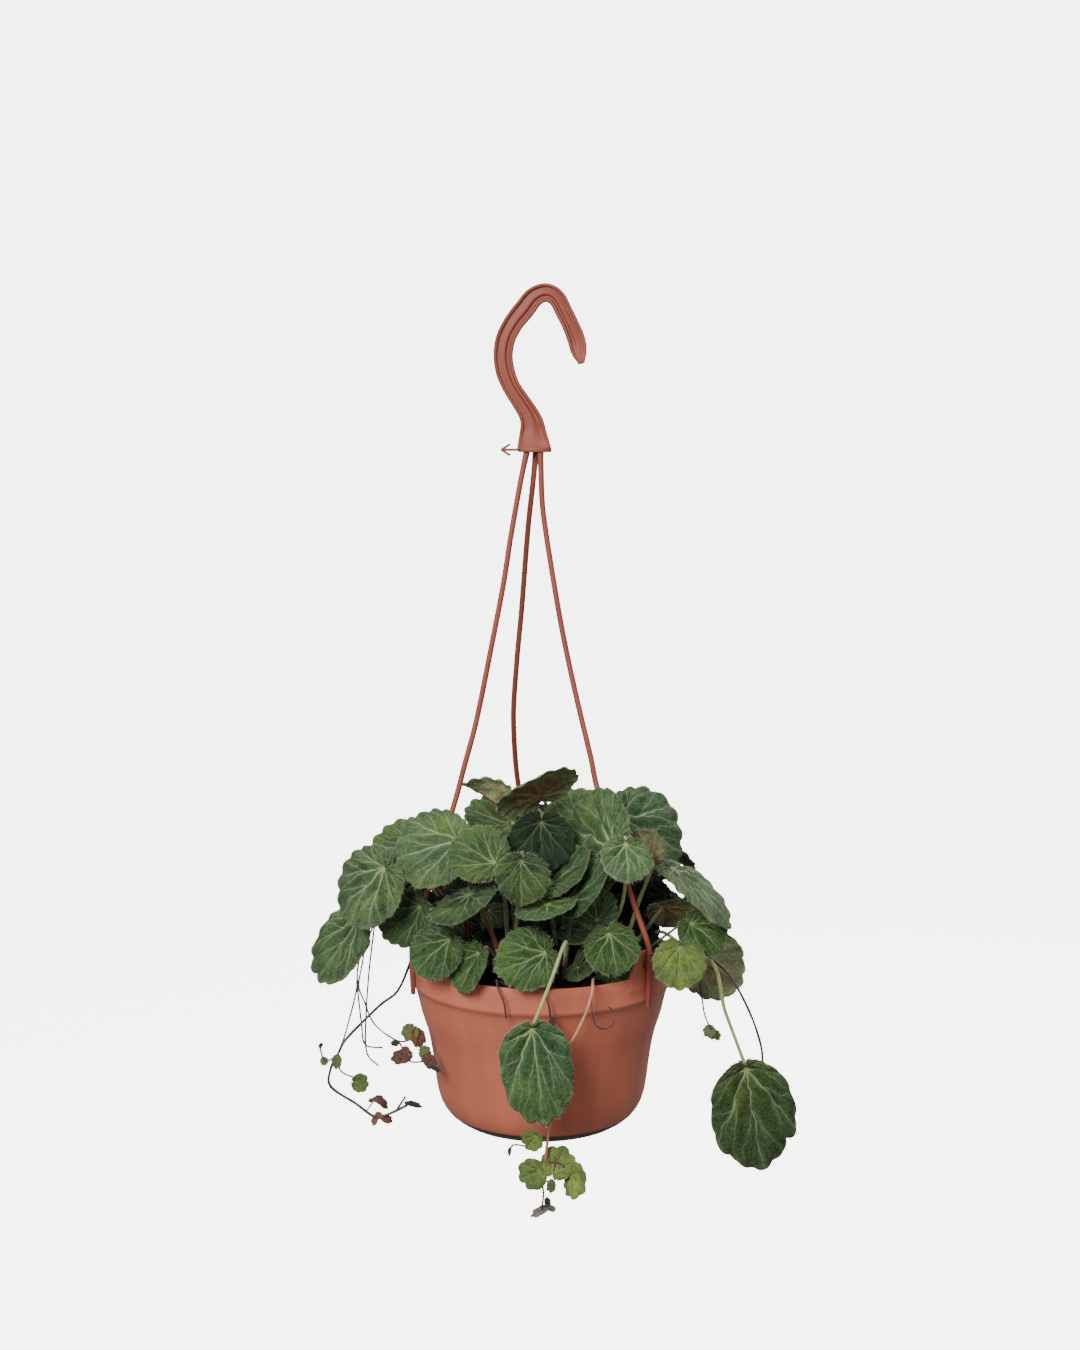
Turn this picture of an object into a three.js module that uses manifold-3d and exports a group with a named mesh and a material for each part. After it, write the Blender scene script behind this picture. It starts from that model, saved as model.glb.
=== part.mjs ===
// A strawberry begonia in a plastic hanging pot. Millimetres, +Z up, the front of the plant faces -Y.
// The origin is the point inside the hook that rests on a rail.
import * as THREE from "three";
import Module from "manifold-3d";

const wasm = await Module();
wasm.setup();
const { Vector3, Vector2 } = THREE;

// Driving dimensions of the pot and its soil. The soil's surface lies a little below the rim.
const RIM_RADIUS = 75;
const RIM_Z = -365;
const POT_HEIGHT = 96;
const POT_X = -2;
const WALL = 1.8;
const POT_SIDES = 30;
const SOIL_DROP = 12;
const SOIL_Z = RIM_Z - SOIL_DROP;
const GAP = 0.3;

// Three ears on the rim, each with a slot. Turns are degrees about the pot's axis from its front.
const EAR_TURNS = [50, -70, 170];
const EAR = { foot: 28, top: 8.8, height: 14, below: 8, thick: 2 };
const SLOT = { width: 6, height: 4, up: 6.5 };

// The hanger: hook, collar, label holder, arms and the tails that clip into the ears.
const HOOK_DEPTH = 7;
const HOOK_WEB = 2.6;
const FLANGE = 1.8;
const COLLAR = { x: -5.7, top: -78.9, height: 2.6, radius: 9.3, flatness: 0.62, sides: 16 };
const BARB_THICK = 1.4;
const ARM_RADIUS = 1.6;
const ARM_SIDES = 6;
const TAIL = { width: 4.4, thick: 2.4, top: 13, bottom: -18, off: 0.9 };
const STUD = { width: 4, height: 2.8, past: 2.6 };

// Leaves and stalks. A tooth's top and the notch beside it are shares of the leaf's reach there.
const BLADE = 1;
const TEETH = 10;
const TOOTH_TOP = 1.05;
const TOOTH_NOTCH = 0.87;
const RING = 6;
const RING_SHARE = 0.55;
const STALK_SIDES = 3;
const LONG_STALK_SIDES = 4;
const STALK_BASE = 1.5;
const STALK_TIP = 1;
const STALK_END = 0.4;
const DETAIL = 0.05;

const COLOURS = {
  plastic: 0xa85a46,
  soil: 0x2b2420,
  leaf: 0x4d6b45,
  runner: 0x5a3d40,
};

// A closed solid from a list of corners and a list of triangles.
function solid(corners, triangles) {
  return new wasm.Manifold(
    new wasm.Mesh({
      numProp: 3,
      vertProperties: new Float32Array(corners.flatMap((p) => [p.x, p.y, p.z])),
      triVerts: new Uint32Array(triangles.flat()),
    }),
  );
}

function solidOf(geometry) {
  const g = geometry.index ? geometry.toNonIndexed() : geometry;
  const corners = [];
  const seen = new Map();
  const triangles = [];
  const p = g.getAttribute("position");
  for (let i = 0; i < p.count; i += 3) {
    const face = [i, i + 1, i + 2].map((k) => {
      const key = [p.getX(k), p.getY(k), p.getZ(k)].map((c) => Math.round(c * 1e4)).join();
      if (!seen.has(key)) {
        seen.set(key, corners.length);
        corners.push(new Vector3(p.getX(k), p.getY(k), p.getZ(k)));
      }
      return seen.get(key);
    });
    if (new Set(face).size === 3) triangles.push(face);
  }
  return solid(corners, triangles);
}

const join = (parts) => parts.reduce((a, b) => a.add(b));

function mesh(name, body, colour, roughness) {
  const made = body.getMesh();
  const g = new THREE.BufferGeometry();
  g.setAttribute("position", new THREE.BufferAttribute(made.vertProperties, 3));
  g.setIndex(new THREE.BufferAttribute(made.triVerts, 1));
  g.computeVertexNormals();
  const m = new THREE.Mesh(g, new THREE.MeshStandardMaterial({ color: colour, roughness, metalness: 0 }));
  m.name = name;
  return m;
}

// A smooth line through the given points.
function route(points, steps) {
  const curve = new THREE.CatmullRomCurve3(points, false, "catmullrom", 0.5);
  return Array.from({ length: steps + 1 }, (_, i) => curve.getPoint(i / steps));
}

// A rod along a line of points, with flat ends. Its radius runs from one end's to the other's, and the
// very end may be finer.
function rod(line, radiusA, radiusB, sides, tip = radiusB) {
  const corners = [];
  const triangles = [];
  const ahead = line.map((p, i) =>
    line[Math.min(i + 1, line.length - 1)].clone().sub(line[Math.max(i - 1, 0)]).normalize(),
  );
  let side = Math.abs(ahead[0].z) < 0.9 ? new Vector3(0, 0, 1) : new Vector3(1, 0, 0);
  line.forEach((p, i) => {
    side = side.clone().addScaledVector(ahead[i], -side.dot(ahead[i])).normalize();
    const other = ahead[i].clone().cross(side);
    const share = i / (line.length - 1);
    const radius = share < 1 ? radiusA + (radiusB - radiusA) * share : tip;
    for (let k = 0; k < sides; k++) {
      const a = (2 * Math.PI * k) / sides;
      corners.push(
        p.clone().addScaledVector(side, radius * Math.cos(a)).addScaledVector(other, radius * Math.sin(a)),
      );
    }
  });
  for (let i = 0; i + 1 < line.length; i++) {
    for (let k = 0; k < sides; k++) {
      const a = i * sides + k;
      const b = i * sides + ((k + 1) % sides);
      triangles.push([a, b, b + sides], [a, b + sides, a + sides]);
    }
  }
  const last = (line.length - 1) * sides;
  for (let k = 1; k + 1 < sides; k++) triangles.push([0, k + 1, k], [last, last + k, last + k + 1]);
  return solid(corners, triangles);
}

const at = (x, y, z) => new Vector3(x, y, z);
const list = (rows) => rows.map((r) => at(...r));

// Places a solid modelled at the front of a pot (towards -Y, its axis through 0, 0) at a turn about it.
const aroundPot = (body, turn) => body.rotate([0, 0, turn]).translate([POT_X, 0, RIM_Z]);

function box(x0, x1, y0, y1, z0, z1) {
  const size = [x1 - x0, y1 - y0, z1 - z0];
  return solidOf(
    new THREE.BoxGeometry(...size).translate((x0 + x1) / 2, (y0 + y1) / 2, (z0 + z1) / 2),
  );
}

// The pot: a turned wall with a rim band, a bead under the band and a rounded foot, and three ears.
const POT_OUTSIDE = [
  [RIM_RADIUS, 0],
  [RIM_RADIUS, -13],
  [RIM_RADIUS + 0.6, -13.6],
  [RIM_RADIUS + 0.6, -15],
  [72.6, -16.4],
  [69.8, -29],
  [65.6, -43],
  [62.8, -57],
  [60.4, -76],
  [57.6, -86],
  [54, -91.5],
  [48, -POT_HEIGHT],
];
const POT_INSIDE = [
  [47, -POT_HEIGHT + WALL],
  [54.8, -87],
  [58.4, -76],
  [61, -57],
  [68, -29],
  [70.8, -16.4],
  [RIM_RADIUS - WALL, -11],
  [RIM_RADIUS - WALL, 0],
];

function turned(profile, sides) {
  const points = profile.map(([r, z]) => new Vector2(r, z));
  return solidOf(new THREE.LatheGeometry(points, sides).rotateX(Math.PI / 2));
}

function makePot() {
  const profile = [[0, -POT_HEIGHT], ...POT_OUTSIDE.toReversed(), ...POT_INSIDE.toReversed()];
  const shell = turned([...profile, [0, -POT_HEIGHT + WALL]], POT_SIDES).translate([POT_X, 0, RIM_Z]);
  const outline = new THREE.Shape([
    new Vector2(-EAR.foot / 2, -EAR.below),
    new Vector2(EAR.foot / 2, -EAR.below),
    new Vector2(EAR.foot / 2, 0),
    new Vector2(EAR.top / 2, EAR.height),
    new Vector2(-EAR.top / 2, EAR.height),
    new Vector2(-EAR.foot / 2, 0),
  ]);
  const ear = solidOf(
    new THREE.ExtrudeGeometry(outline, { depth: EAR.thick, bevelEnabled: false })
      .rotateX(Math.PI / 2)
      .translate(0, -RIM_RADIUS + EAR.thick, 0),
  );
  const slot = box(
    -SLOT.width / 2,
    SLOT.width / 2,
    -RIM_RADIUS - 5,
    -RIM_RADIUS + 5,
    SLOT.up - SLOT.height / 2,
    SLOT.up + SLOT.height / 2,
  );
  // The ear's foot stays within the rim band, whose wall is curved.
  const low = -EAR.below - 1;
  const high = EAR.height + 1;
  const cut = turned([[0, low], [RIM_RADIUS, low], [RIM_RADIUS, high], [0, high]], POT_SIDES);
  const shaped = ear.subtract(slot).intersect(cut);
  return join([shell, ...EAR_TURNS.map((turn) => aroundPot(shaped, turn))]);
}

// The soil fills the pot to a little below the rim and rises slightly in the middle.
const SOIL = { edge: 71.6, flat: 60, edgeDrop: 1, middleRise: 1.2 };
function makeSoil(holes) {
  const inside = POT_INSIDE.filter(([, z]) => z < -SOIL_DROP).map(([r, z]) => [r - GAP, z + GAP]);
  const profile = [
    [0, inside[0][1]],
    ...inside,
    [SOIL.edge, -SOIL_DROP - SOIL.edgeDrop],
    [SOIL.flat, -SOIL_DROP],
    [0, -SOIL_DROP + SOIL.middleRise],
  ];
  const body = turned(profile, POT_SIDES).translate([POT_X, 0, RIM_Z]);
  return holes.reduce((soil, hole) => soil.subtract(hole), body);
}

// The hook's middle line and its half width: up from the collar, round the seat and down to the tip.
const HOOK_LINE = [
  [-7.6, -79.4, 9],
  [-7.2, -71.9, 7.6],
  [-7.4, -65.6, 6.5],
  [-9.3, -60.2, 5.6],
  [-13.2, -54, 5.2],
  [-18.4, -46, 5],
  [-21.8, -37.6, 5.3],
  [-23, -29, 5.3],
  [-22.1, -21.6, 5.4],
  [-20, -16, 5.4],
  [-16.2, -9.8, 5.5],
  [-11.2, -3.8, 5.7],
  [-6.2, 2.4, 5.4],
  [0.2, 5.1, 5],
  [6.2, 2.2, 4.8],
  [10.4, -5.4, 4.7],
  [14, -12.6, 4.7],
  [17, -20, 4.9],
  [18.6, -27, 4.3],
  [20, -33.4, 1.6],
];
// The pockets on its two faces run from one of these stations to the other.
const POCKET_FROM = 1;
const POCKET_TO = 17;

function hookOutline(from, to, inset) {
  const line = HOOK_LINE.map(([x, z]) => new Vector2(x, z));
  const outer = [];
  const inner = [];
  for (let i = from; i <= to; i++) {
    const ahead = line[Math.min(i + 1, line.length - 1)].clone().sub(line[Math.max(i - 1, 0)]).normalize();
    const half = HOOK_LINE[i][2] - inset;
    outer.push(new Vector2(line[i].x - ahead.y * half, line[i].y + ahead.x * half));
    inner.unshift(new Vector2(line[i].x + ahead.y * half, line[i].y - ahead.x * half));
  }
  return [...outer, ...inner];
}

// A plate with its outline in X and Z, centred on y = 0.
function plate(outline, depth) {
  const shape = new THREE.Shape(outline);
  const g = new THREE.ExtrudeGeometry(shape, { depth, bevelEnabled: false });
  return solidOf(g.rotateX(Math.PI / 2).translate(0, depth / 2, 0));
}

// The label holder: an arrow with two barbs at the collar's left.
const BARB = [
  [-14, 0.5],
  [-20.4, 0.5],
  [-18.6, 3],
  [-19.6, 3.4],
  [-24.4, 0],
  [-19.6, -3.4],
  [-18.6, -3],
  [-20.4, -0.5],
  [-14, -0.5],
];

// The arms' middle lines from the collar to the tails on the ears.
const ARM_STEPS = 18;
const ARM_LINES = [
  list([
    [-2.6, -2.7, -80],
    [-2.2, -3.2, -92],
    [-1.2, -4.2, -113],
    [3.5, -7.5, -144.7],
    [9.8, -12.6, -180.7],
    [17.4, -19, -215.8],
    [25, -25.6, -247.2],
    [29.4, -29, -267],
    [44.6, -39.4, -315],
    [55.1, -48, -344],
    [57.3, -49.8, -353],
  ]),
  list([
    [-9.8, -1.4, -80],
    [-12.4, -2.2, -92],
    [-14.7, -3, -104],
    [-19.2, -4.8, -129.3],
    [-23, -6.4, -153.6],
    [-29.5, -9, -187.2],
    [-38, -12, -228.9],
    [-45, -14.6, -255.2],
    [-50.3, -16.6, -275],
    [-63.3, -22.3, -318],
    [-72.1, -25.5, -344],
    [-74.7, -26.5, -353],
  ]),
  list([
    [-5, 4.2, -80],
    [-6.6, 6, -97.6],
    [-9.6, 11, -125.5],
    [-13.2, 20, -170.4],
    [-16.2, 27.6, -202.8],
    [-18.2, 37, -240],
    [-14.6, 52, -285],
    [-3, 66.4, -322],
    [7.6, 73.9, -344],
    [11.4, 76.2, -353],
  ]),
];

function makeHanger() {
  const ring = plate(hookOutline(0, HOOK_LINE.length - 1, 0), HOOK_DEPTH).subtract(
    plate(hookOutline(POCKET_FROM, POCKET_TO, FLANGE), HOOK_DEPTH + 2),
  );
  const web = plate(hookOutline(0, HOOK_LINE.length - 1, 0.4), HOOK_WEB);
  const collar = solidOf(
    new THREE.CylinderGeometry(COLLAR.radius, COLLAR.radius, COLLAR.height, COLLAR.sides)
      .rotateX(Math.PI / 2)
      .translate(COLLAR.x, 0, COLLAR.top - COLLAR.height / 2),
  ).scale([1, COLLAR.flatness, 1]);
  const barb = plate(BARB.map(([x, z]) => new Vector2(x, z + COLLAR.top - COLLAR.height / 2)), BARB_THICK);
  const arms = ARM_LINES.map((line) => rod(route(line, ARM_STEPS), ARM_RADIUS, ARM_RADIUS, ARM_SIDES));
  // Each arm ends in a flat tail that lies on the ear and the rim, with a stud through the ear's slot.
  const face = -RIM_RADIUS - TAIL.off;
  const tail = box(-TAIL.width / 2, TAIL.width / 2, face - TAIL.thick, face, TAIL.bottom, TAIL.top);
  const stud = box(
    -STUD.width / 2,
    STUD.width / 2,
    face - 1,
    -RIM_RADIUS + EAR.thick + STUD.past,
    SLOT.up - STUD.height / 2,
    SLOT.up + STUD.height / 2,
  );
  const clip = tail.add(stud);
  return join([ring, web, collar, barb, ...arms, ...EAR_TURNS.map((turn) => aroundPot(clip, turn))]);
}

// The leaf forms. Shares of the leaf's length: how far the margin rises, the tip drops, the halves fold up
// and the margin waves. The stalk meets the blade somewhere between straight below and along it.
const FORMS = {
  flat: { root: 0.62, width: 1.04, cup: 0.05, droop: 0.1, fold: 0.04, wave: 0.03, along: 0.4 },
  arched: { root: 0.62, width: 1.06, cup: -0.16, droop: 0.12, fold: 0, wave: 0.035, along: 0.4 },
  cupped: { root: 0.62, width: 1.04, cup: 0.26, droop: 0, fold: 0.05, wave: 0.03, along: 0.35 },
  folded: { root: 0.66, width: 1, cup: 0.05, droop: 0.12, fold: 0.34, wave: 0.02, along: 0.5 },
  draped: { root: 0.62, width: 0.96, cup: -0.12, droop: 0.3, fold: 0.06, wave: 0.04, along: 0.5 },
  wide: { root: 0.6, width: 1.2, cup: -0.12, droop: 0.06, fold: 0, wave: 0.03, along: 0.3 },
  long: { root: 0.86, width: 0.68, cup: 0.02, droop: 0.06, fold: 0.1, wave: 0.02, along: 0.85 },
  hanging: { root: 0.86, width: 0.82, cup: -0.03, droop: 0.05, fold: 0.05, wave: 0.02, along: 0.92 },
};

// Each leaf: where its stalk meets the blade, the way its tip points, the way its upper side faces, its
// length and form, and the points that its stalk goes over where it doesn't rise straight from the soil.
const LEAVES = [
  // Left side.
  [[-88, -42, -307], [-0.85, -0.25, -0.45], [-0.35, -0.8, 0.5], 45, "arched"],
  [
    [-105, -22, -341],
    [-0.66, -0.1, -0.75],
    [-0.5, -0.8, 0.25],
    47,
    "long",
    [[-60, -12, -330], [-86, -17, -317]],
  ],
  [[-48, -45, -290], [-0.95, -0.2, 0], [-0.15, -0.75, 0.65], 46, "arched"],
  [[-70, -4, -304], [-0.9, 0.1, 0.1], [-0.2, -0.6, 0.75], 42, "flat"],
  [[-69, -35, -330], [-0.75, 0, -0.65], [-0.3, -0.75, 0.5], 33, "flat"],
  [[-52, -56, -343], [-0.75, -0.35, -0.5], [-0.25, -0.8, 0.55], 31, "flat"],
  [[-41, -54, -318], [-0.2, -0.9, -0.35], [-0.42, -0.32, 0.85], 38, "cupped"],
  [[-36, -63, -348], [-0.6, -0.3, -0.8], [-0.6, -0.6, 0.5], 29, "folded"],
  // Middle of the front.
  [[-27, -60, -299], [-0.75, -0.15, 0.6], [-0.1, -0.85, 0.5], 33, "flat"],
  [[-12, -58, -299], [-0.05, -0.5, -0.85], [0.1, -0.8, 0.55], 30, "folded"],
  [[0, -73, -345], [-0.85, -0.2, -0.3], [-0.05, -0.85, 0.5], 34, "flat"],
  [[-9, -65, -352], [-0.9, -0.1, -0.3], [-0.1, -0.8, 0.5], 24, "flat"],
  [[3, -50, -315], [0.6, -0.3, 0.7], [-0.55, -0.5, 0.65], 35, "cupped"],
  [[12, -62, -318], [0.6, -0.3, 0.7], [-0.55, -0.5, 0.65], 36, "cupped"],
  [[1, -62, -321], [0, -0.95, -0.2], [0, -0.24, 0.97], 32, "cupped"],
  [[18, -62, -360], [0, -0.6, -0.4], [0, -0.6, 0.8], 15, "flat"],
  [[-7, -95, -380], [0.12, -0.1, -0.99], [0, -0.97, 0.2], 55, "long", [[11, -78, -338], [2, -91, -358]]],
  // Top.
  [[-22, 8, -284], [-0.75, 0, 0.65], [0.5, 0.5, 0.7], 36, "folded"],
  [[-3, -2, -275], [-0.2, -0.75, 0.6], [-0.36, 0.66, 0.66], 47, "arched"],
  [[-1, -34, -284], [0, -0.3, -0.95], [0, -0.9, 0.4], 35, "flat"],
  [[19, 0, -298], [-0.2, 0.2, 0.9], [-0.1, -0.85, 0.5], 36, "flat"],
  [[40, -47, -293], [-0.65, 0.7, 0.1], [-0.72, -0.62, 0.3], 48, "wide"],
  [[42, -18, -285], [0.9, -0.1, -0.1], [0.3, -0.75, 0.6], 54, "arched"],
  // Right side.
  [[43, -62, -289], [0, -0.5, -0.85], [0.1, -0.8, 0.6], 28, "flat", [[41, -44, -330]]],
  [[57, -54, -299], [-0.35, 0.1, 0.9], [0.6, 0.75, 0.3], 23, "folded", [[50, -33, -334]]],
  [[61, 20, -305], [0.85, 0.3, -0.3], [0.2, 0.2, 0.95], 38, "draped"],
  [[69, -34, -309], [0.88, -0.1, -0.42], [0.42, -0.05, 0.9], 54, "draped"],
  [[66, -34, -330], [0.2, -0.5, -0.9], [0.1, 0.6, 0.6], 30, "flat"],
  [[73, -53, -348], [0, -0.5, -0.85], [0.15, -0.85, 0.5], 29, "flat"],
  [[80, -38, -338], [0.7, -0.2, -0.6], [0.2, -0.7, 0.7], 28, "flat"],
  [[78, -14, -364], [0.76, -0.1, -0.64], [-0.4, 0.8, -0.2], 42, "arched", [[62, -10, -352], [76, -12, -357]]],
  [
    [112, -40, -421],
    [0.17, -0.15, -0.97],
    [0.1, -0.95, 0.2],
    61,
    "hanging",
    [[88, -42, -357], [100, -41, -389]],
  ],
  [[34, -65, -337], [0.2, -0.3, -0.9], [0, -0.85, 0.5], 29, "flat"],
  [[30, -56, -333], [0, -0.4, 0.6], [0, -0.7, 0.7], 23, "cupped"],
  // Back.
  [[-58, 30, -310], [-0.7, 0.5, -0.5], [-0.4, 0.4, 0.8], 46, "arched"],
  [[-30, 45, -309], [-0.3, 0.8, -0.5], [-0.2, 0.6, 0.75], 46, "flat"],
  [[5, 48, -307], [0, 0.85, -0.5], [0, 0.65, 0.75], 48, "arched"],
  [[38, 42, -303], [0.4, 0.75, -0.5], [0.3, 0.55, 0.75], 44, "flat"],
  [[-18, 24, -296], [-0.9, 0.3, 0.1], [-0.05, -0.4, 0.9], 36, "cupped"],
  [[24, 22, -284], [0.6, 0.7, 0], [0.1, 0.3, 0.95], 42, "flat"],
  [[-78, 34, -338], [-0.7, 0.4, -0.6], [-0.5, 0.5, 0.7], 40, "flat"],
  [[-46, 66, -338], [-0.4, 0.7, -0.6], [-0.3, 0.75, 0.6], 42, "arched"],
  [[-10, 80, -342], [0, 0.7, -0.7], [0, 0.85, 0.5], 40, "flat"],
  [[32, 74, -340], [0.3, 0.7, -0.6], [0.3, 0.75, 0.6], 42, "arched"],
  [[64, 52, -342], [0.6, 0.5, -0.6], [0.5, 0.55, 0.65], 40, "flat"],
  [[88, 18, -344], [0.8, 0.1, -0.6], [0.6, 0.1, 0.8], 40, "arched"],
];

// The crowns that the leaves grow from, on the soil.
const CROWNS = list([
  [-42, -20, SOIL_Z],
  [-18, -42, SOIL_Z],
  [10, -42, SOIL_Z],
  [38, -26, SOIL_Z],
  [36, 22, SOIL_Z],
  [2, 38, SOIL_Z],
  [-34, 26, SOIL_Z],
  [0, -4, SOIL_Z],
]);
const CROWN = { radius: 4.2, taper: 0.8, below: 6, above: 3, sides: 6 };

// How far the blade reaches from its stalk at an angle from its midrib: a circle seen from a point near its
// edge, notched where the stalk comes in. The root says how far that point lies from the circle's middle, as
// a share of its radius. The width is scaled afterwards.
const NOTCH = { depth: 0.7, spread: 0.3 };
function reach(length, root, angle) {
  const radius = length / 2;
  const offset = root * radius;
  const round = offset * Math.cos(angle) + Math.sqrt(radius ** 2 - (offset * Math.sin(angle)) ** 2);
  const back = (Math.PI - Math.abs(angle)) / NOTCH.spread;
  return round * (1 - NOTCH.depth * Math.exp(-back * back));
}

// How far the upper side rises above the plane through the stalk's end, u along the midrib, v across it. The
// margin has three waves, and the fold's crease is rounded.
const CREASE = 0.02;
const WAVES = 3;
const PHASE_STEP = 1.7;
function rise(leaf, u, v) {
  const { cup, droop, fold, wave } = leaf.form;
  const s = u / leaf.length;
  const t = v / leaf.length;
  const ripple = Math.sin(WAVES * Math.atan2(v, u) + leaf.phase);
  return (
    leaf.length *
    ((cup + wave * ripple) * (s * s + t * t) -
      (s > 0 ? droop * s * s : 0) +
      fold * (Math.sqrt(t * t + CREASE ** 2) - CREASE))
  );
}

function makeLeaf([seat, out, face, length, form, over = []], i) {
  const F = at(...face).normalize();
  const O = at(...out).addScaledVector(F, -F.dot(at(...out))).normalize();
  return {
    at: at(...seat),
    O,
    S: F.clone().cross(O),
    F,
    length,
    form: FORMS[form],
    over: list(over),
    phase: PHASE_STEP * i,
  };
}

const spot = (leaf, u, v, h) =>
  leaf.at.clone().addScaledVector(leaf.O, u).addScaledVector(leaf.S, v).addScaledVector(leaf.F, h);

// The places on a blade that are tested against its neighbours: its middle, a ring half way and its edge.
const PROBE_RINGS = [
  [0.5, 6],
  [0.98, 12],
];
function probes(leaf) {
  const places = [[0, 0]];
  for (const [share, count] of PROBE_RINGS) {
    for (let k = 0; k < count; k++) {
      const angle = -Math.PI + (2 * Math.PI * (k + 0.5)) / count;
      const r = share * reach(leaf.length, leaf.form.root, angle);
      places.push([r * Math.cos(angle), r * Math.sin(angle) * leaf.form.width]);
    }
  }
  return places.map(([u, v]) => spot(leaf, u, v, rise(leaf, u, v) - BLADE / 2));
}

// Growing leaves make room for each other: each gives way to its neighbours, the rim and the arms until no
// blade cuts another. Each round makes up a part of what is lacking.
const CLEAR = 2.6;
const NEAR = 16;
const ROUNDS = 80;
const PART = 0.45;
const BESIDE = 2;
const RIM_ROOM = { out: 4, in: 6, up: 3, soil: 4, earTurn: 14 };
function rimAt(x, y) {
  const turn = THREE.MathUtils.radToDeg(Math.atan2(x, -y));
  const off = Math.min(...EAR_TURNS.map((ear) => Math.abs(((turn - ear + 540) % 360) - 180)));
  return RIM_Z + RIM_ROOM.up + (off < RIM_ROOM.earTurn ? EAR.height : 0);
}

// Where a place lies over a blade: how far above its middle surface, and whether it is within its edge.
function placeOn(leaf, place) {
  const d = place.clone().sub(leaf.at);
  const u = d.dot(leaf.O);
  const v = d.dot(leaf.S);
  const across = v / leaf.form.width;
  const limit = reach(leaf.length, leaf.form.root, Math.atan2(across, u)) + BESIDE;
  return { gap: d.dot(leaf.F) - rise(leaf, u, v) + BLADE / 2, inside: Math.hypot(u, across) <= limit };
}

function settle(leaves, needles) {
  for (let round = 0; round < ROUNDS; round++) {
    const sets = [...leaves.map(probes), ...needles];
    const pushes = leaves.map(() => []);
    leaves.forEach((leaf, b) => {
      sets.forEach((set, a) => {
        if (a === b) return;
        const close = [];
        for (const p of set) {
          const { gap, inside } = placeOn(leaf, p);
          if (inside && Math.abs(gap) < NEAR) close.push([p, gap]);
        }
        const side = Math.sign(close.reduce((sum, [, gap]) => sum + gap, 0)) || 1;
        for (const [p, gap] of close) {
          const lack = (a < leaves.length ? CLEAR : CLEAR + ARM_RADIUS) - side * gap;
          if (lack <= 0) continue;
          if (a < leaves.length) pushes[a].push([p, leaf.F.clone().multiplyScalar(side * lack)]);
          pushes[b].push([p, leaf.F.clone().multiplyScalar(-side * lack)]);
        }
      });
    });
    leaves.forEach((leaf, a) => {
      for (const p of sets[a]) {
        const r = Math.hypot(p.x - POT_X, p.y);
        const rim = rimAt(p.x - POT_X, p.y);
        if (r > RIM_RADIUS + RIM_ROOM.out || p.z > rim) continue;
        const up = r < RIM_RADIUS - RIM_ROOM.in ? SOIL_Z + RIM_ROOM.soil - p.z : rim - p.z;
        const outward = RIM_RADIUS + RIM_ROOM.out - r;
        if (up <= 0) continue;
        if (up < outward) pushes[a].push([p, at(0, 0, up)]);
        else pushes[a].push([p, at((p.x - POT_X) / r, p.y / r, 0).multiplyScalar(outward)]);
      }
    });
    leaves.forEach((leaf, a) => {
      if (!pushes[a].length) return;
      const shift = at(0, 0, 0);
      const turn = at(0, 0, 0);
      let arm = 0;
      for (const [p, push] of pushes[a]) {
        const from = p.clone().sub(leaf.at);
        shift.add(push);
        turn.add(from.clone().cross(push));
        arm += from.lengthSq();
      }
      leaf.at.addScaledVector(shift, PART / pushes[a].length);
      turn.multiplyScalar(PART / Math.max(arm, 1));
      leaf.F.add(turn.clone().cross(leaf.F)).normalize();
      leaf.O.add(turn.clone().cross(leaf.O));
      leaf.O.addScaledVector(leaf.F, -leaf.F.dot(leaf.O)).normalize();
      leaf.S.copy(leaf.F).cross(leaf.O);
    });
  }
}

// The crown that a leaf grows from is the one nearest below the middle of its way out.
function crownOf(leaf) {
  const middle = new Vector2(leaf.at.x, leaf.at.y).multiplyScalar(0.5);
  const off = (c) => Math.hypot(c.x - middle.x, c.y - middle.y);
  return CROWNS.reduce((best, c) => (off(c) < off(best) ? c : best));
}

// A stalk starts upright beside its crown's middle and comes to the blade between straight below and along
// it, and the last stretch is a share of the leaf's length.
const START = { off: 1.8, lean: 1.5, below: 1, up: 5 };
const LAST_STRETCH = 0.22;
const STALK_STEPS = 7;
const LONG_STALK_STEPS = 11;
function stalkLine(leaf, bow, lift) {
  const crown = leaf.crown;
  const away = at(leaf.at.x - crown.x, leaf.at.y - crown.y, 0);
  const ahead = away.clone().normalize();
  const side = at(-ahead.y, ahead.x, 0);
  const arrive = leaf.O.clone().multiplyScalar(leaf.form.along).addScaledVector(leaf.F, 1 - leaf.form.along);
  const before = leaf.at.clone().addScaledVector(arrive.normalize(), -LAST_STRETCH * leaf.length);
  const start = crown.clone().addScaledVector(ahead, START.off);
  const points = [
    start.clone().setZ(SOIL_Z - START.below),
    start.clone().addScaledVector(ahead, START.lean).setZ(SOIL_Z + START.up),
  ];
  if (leaf.over.length) points.push(...leaf.over);
  else {
    const middle = start.clone().lerp(before, 0.4).addScaledVector(side, bow);
    middle.z = start.z + lift * (before.z - start.z);
    points.push(middle);
  }
  points.push(before, spot(leaf, 0, 0, -BLADE / 2));
  return route(points, leaf.over.length ? LONG_STALK_STEPS : STALK_STEPS);
}

// Whether a stalk goes through a blade: it touches it, or it changes sides within it from place to place.
const TOUCH = 2.2;
const STRIDE = 14;
const SHARES = [0, 0.25, 0.5, 0.75];
function goesThrough(line, blade) {
  const places = line.slice(1).flatMap((p, i) => SHARES.map((share) => line[i].clone().lerp(p, share)));
  let last = 0;
  for (const place of places) {
    const { gap, inside } = placeOn(blade, place);
    if (inside && Math.abs(gap) < TOUCH) return true;
    if (inside && gap * last < 0 && Math.abs(gap - last) < STRIDE) return true;
    last = inside ? gap : 0;
  }
  return false;
}

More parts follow.
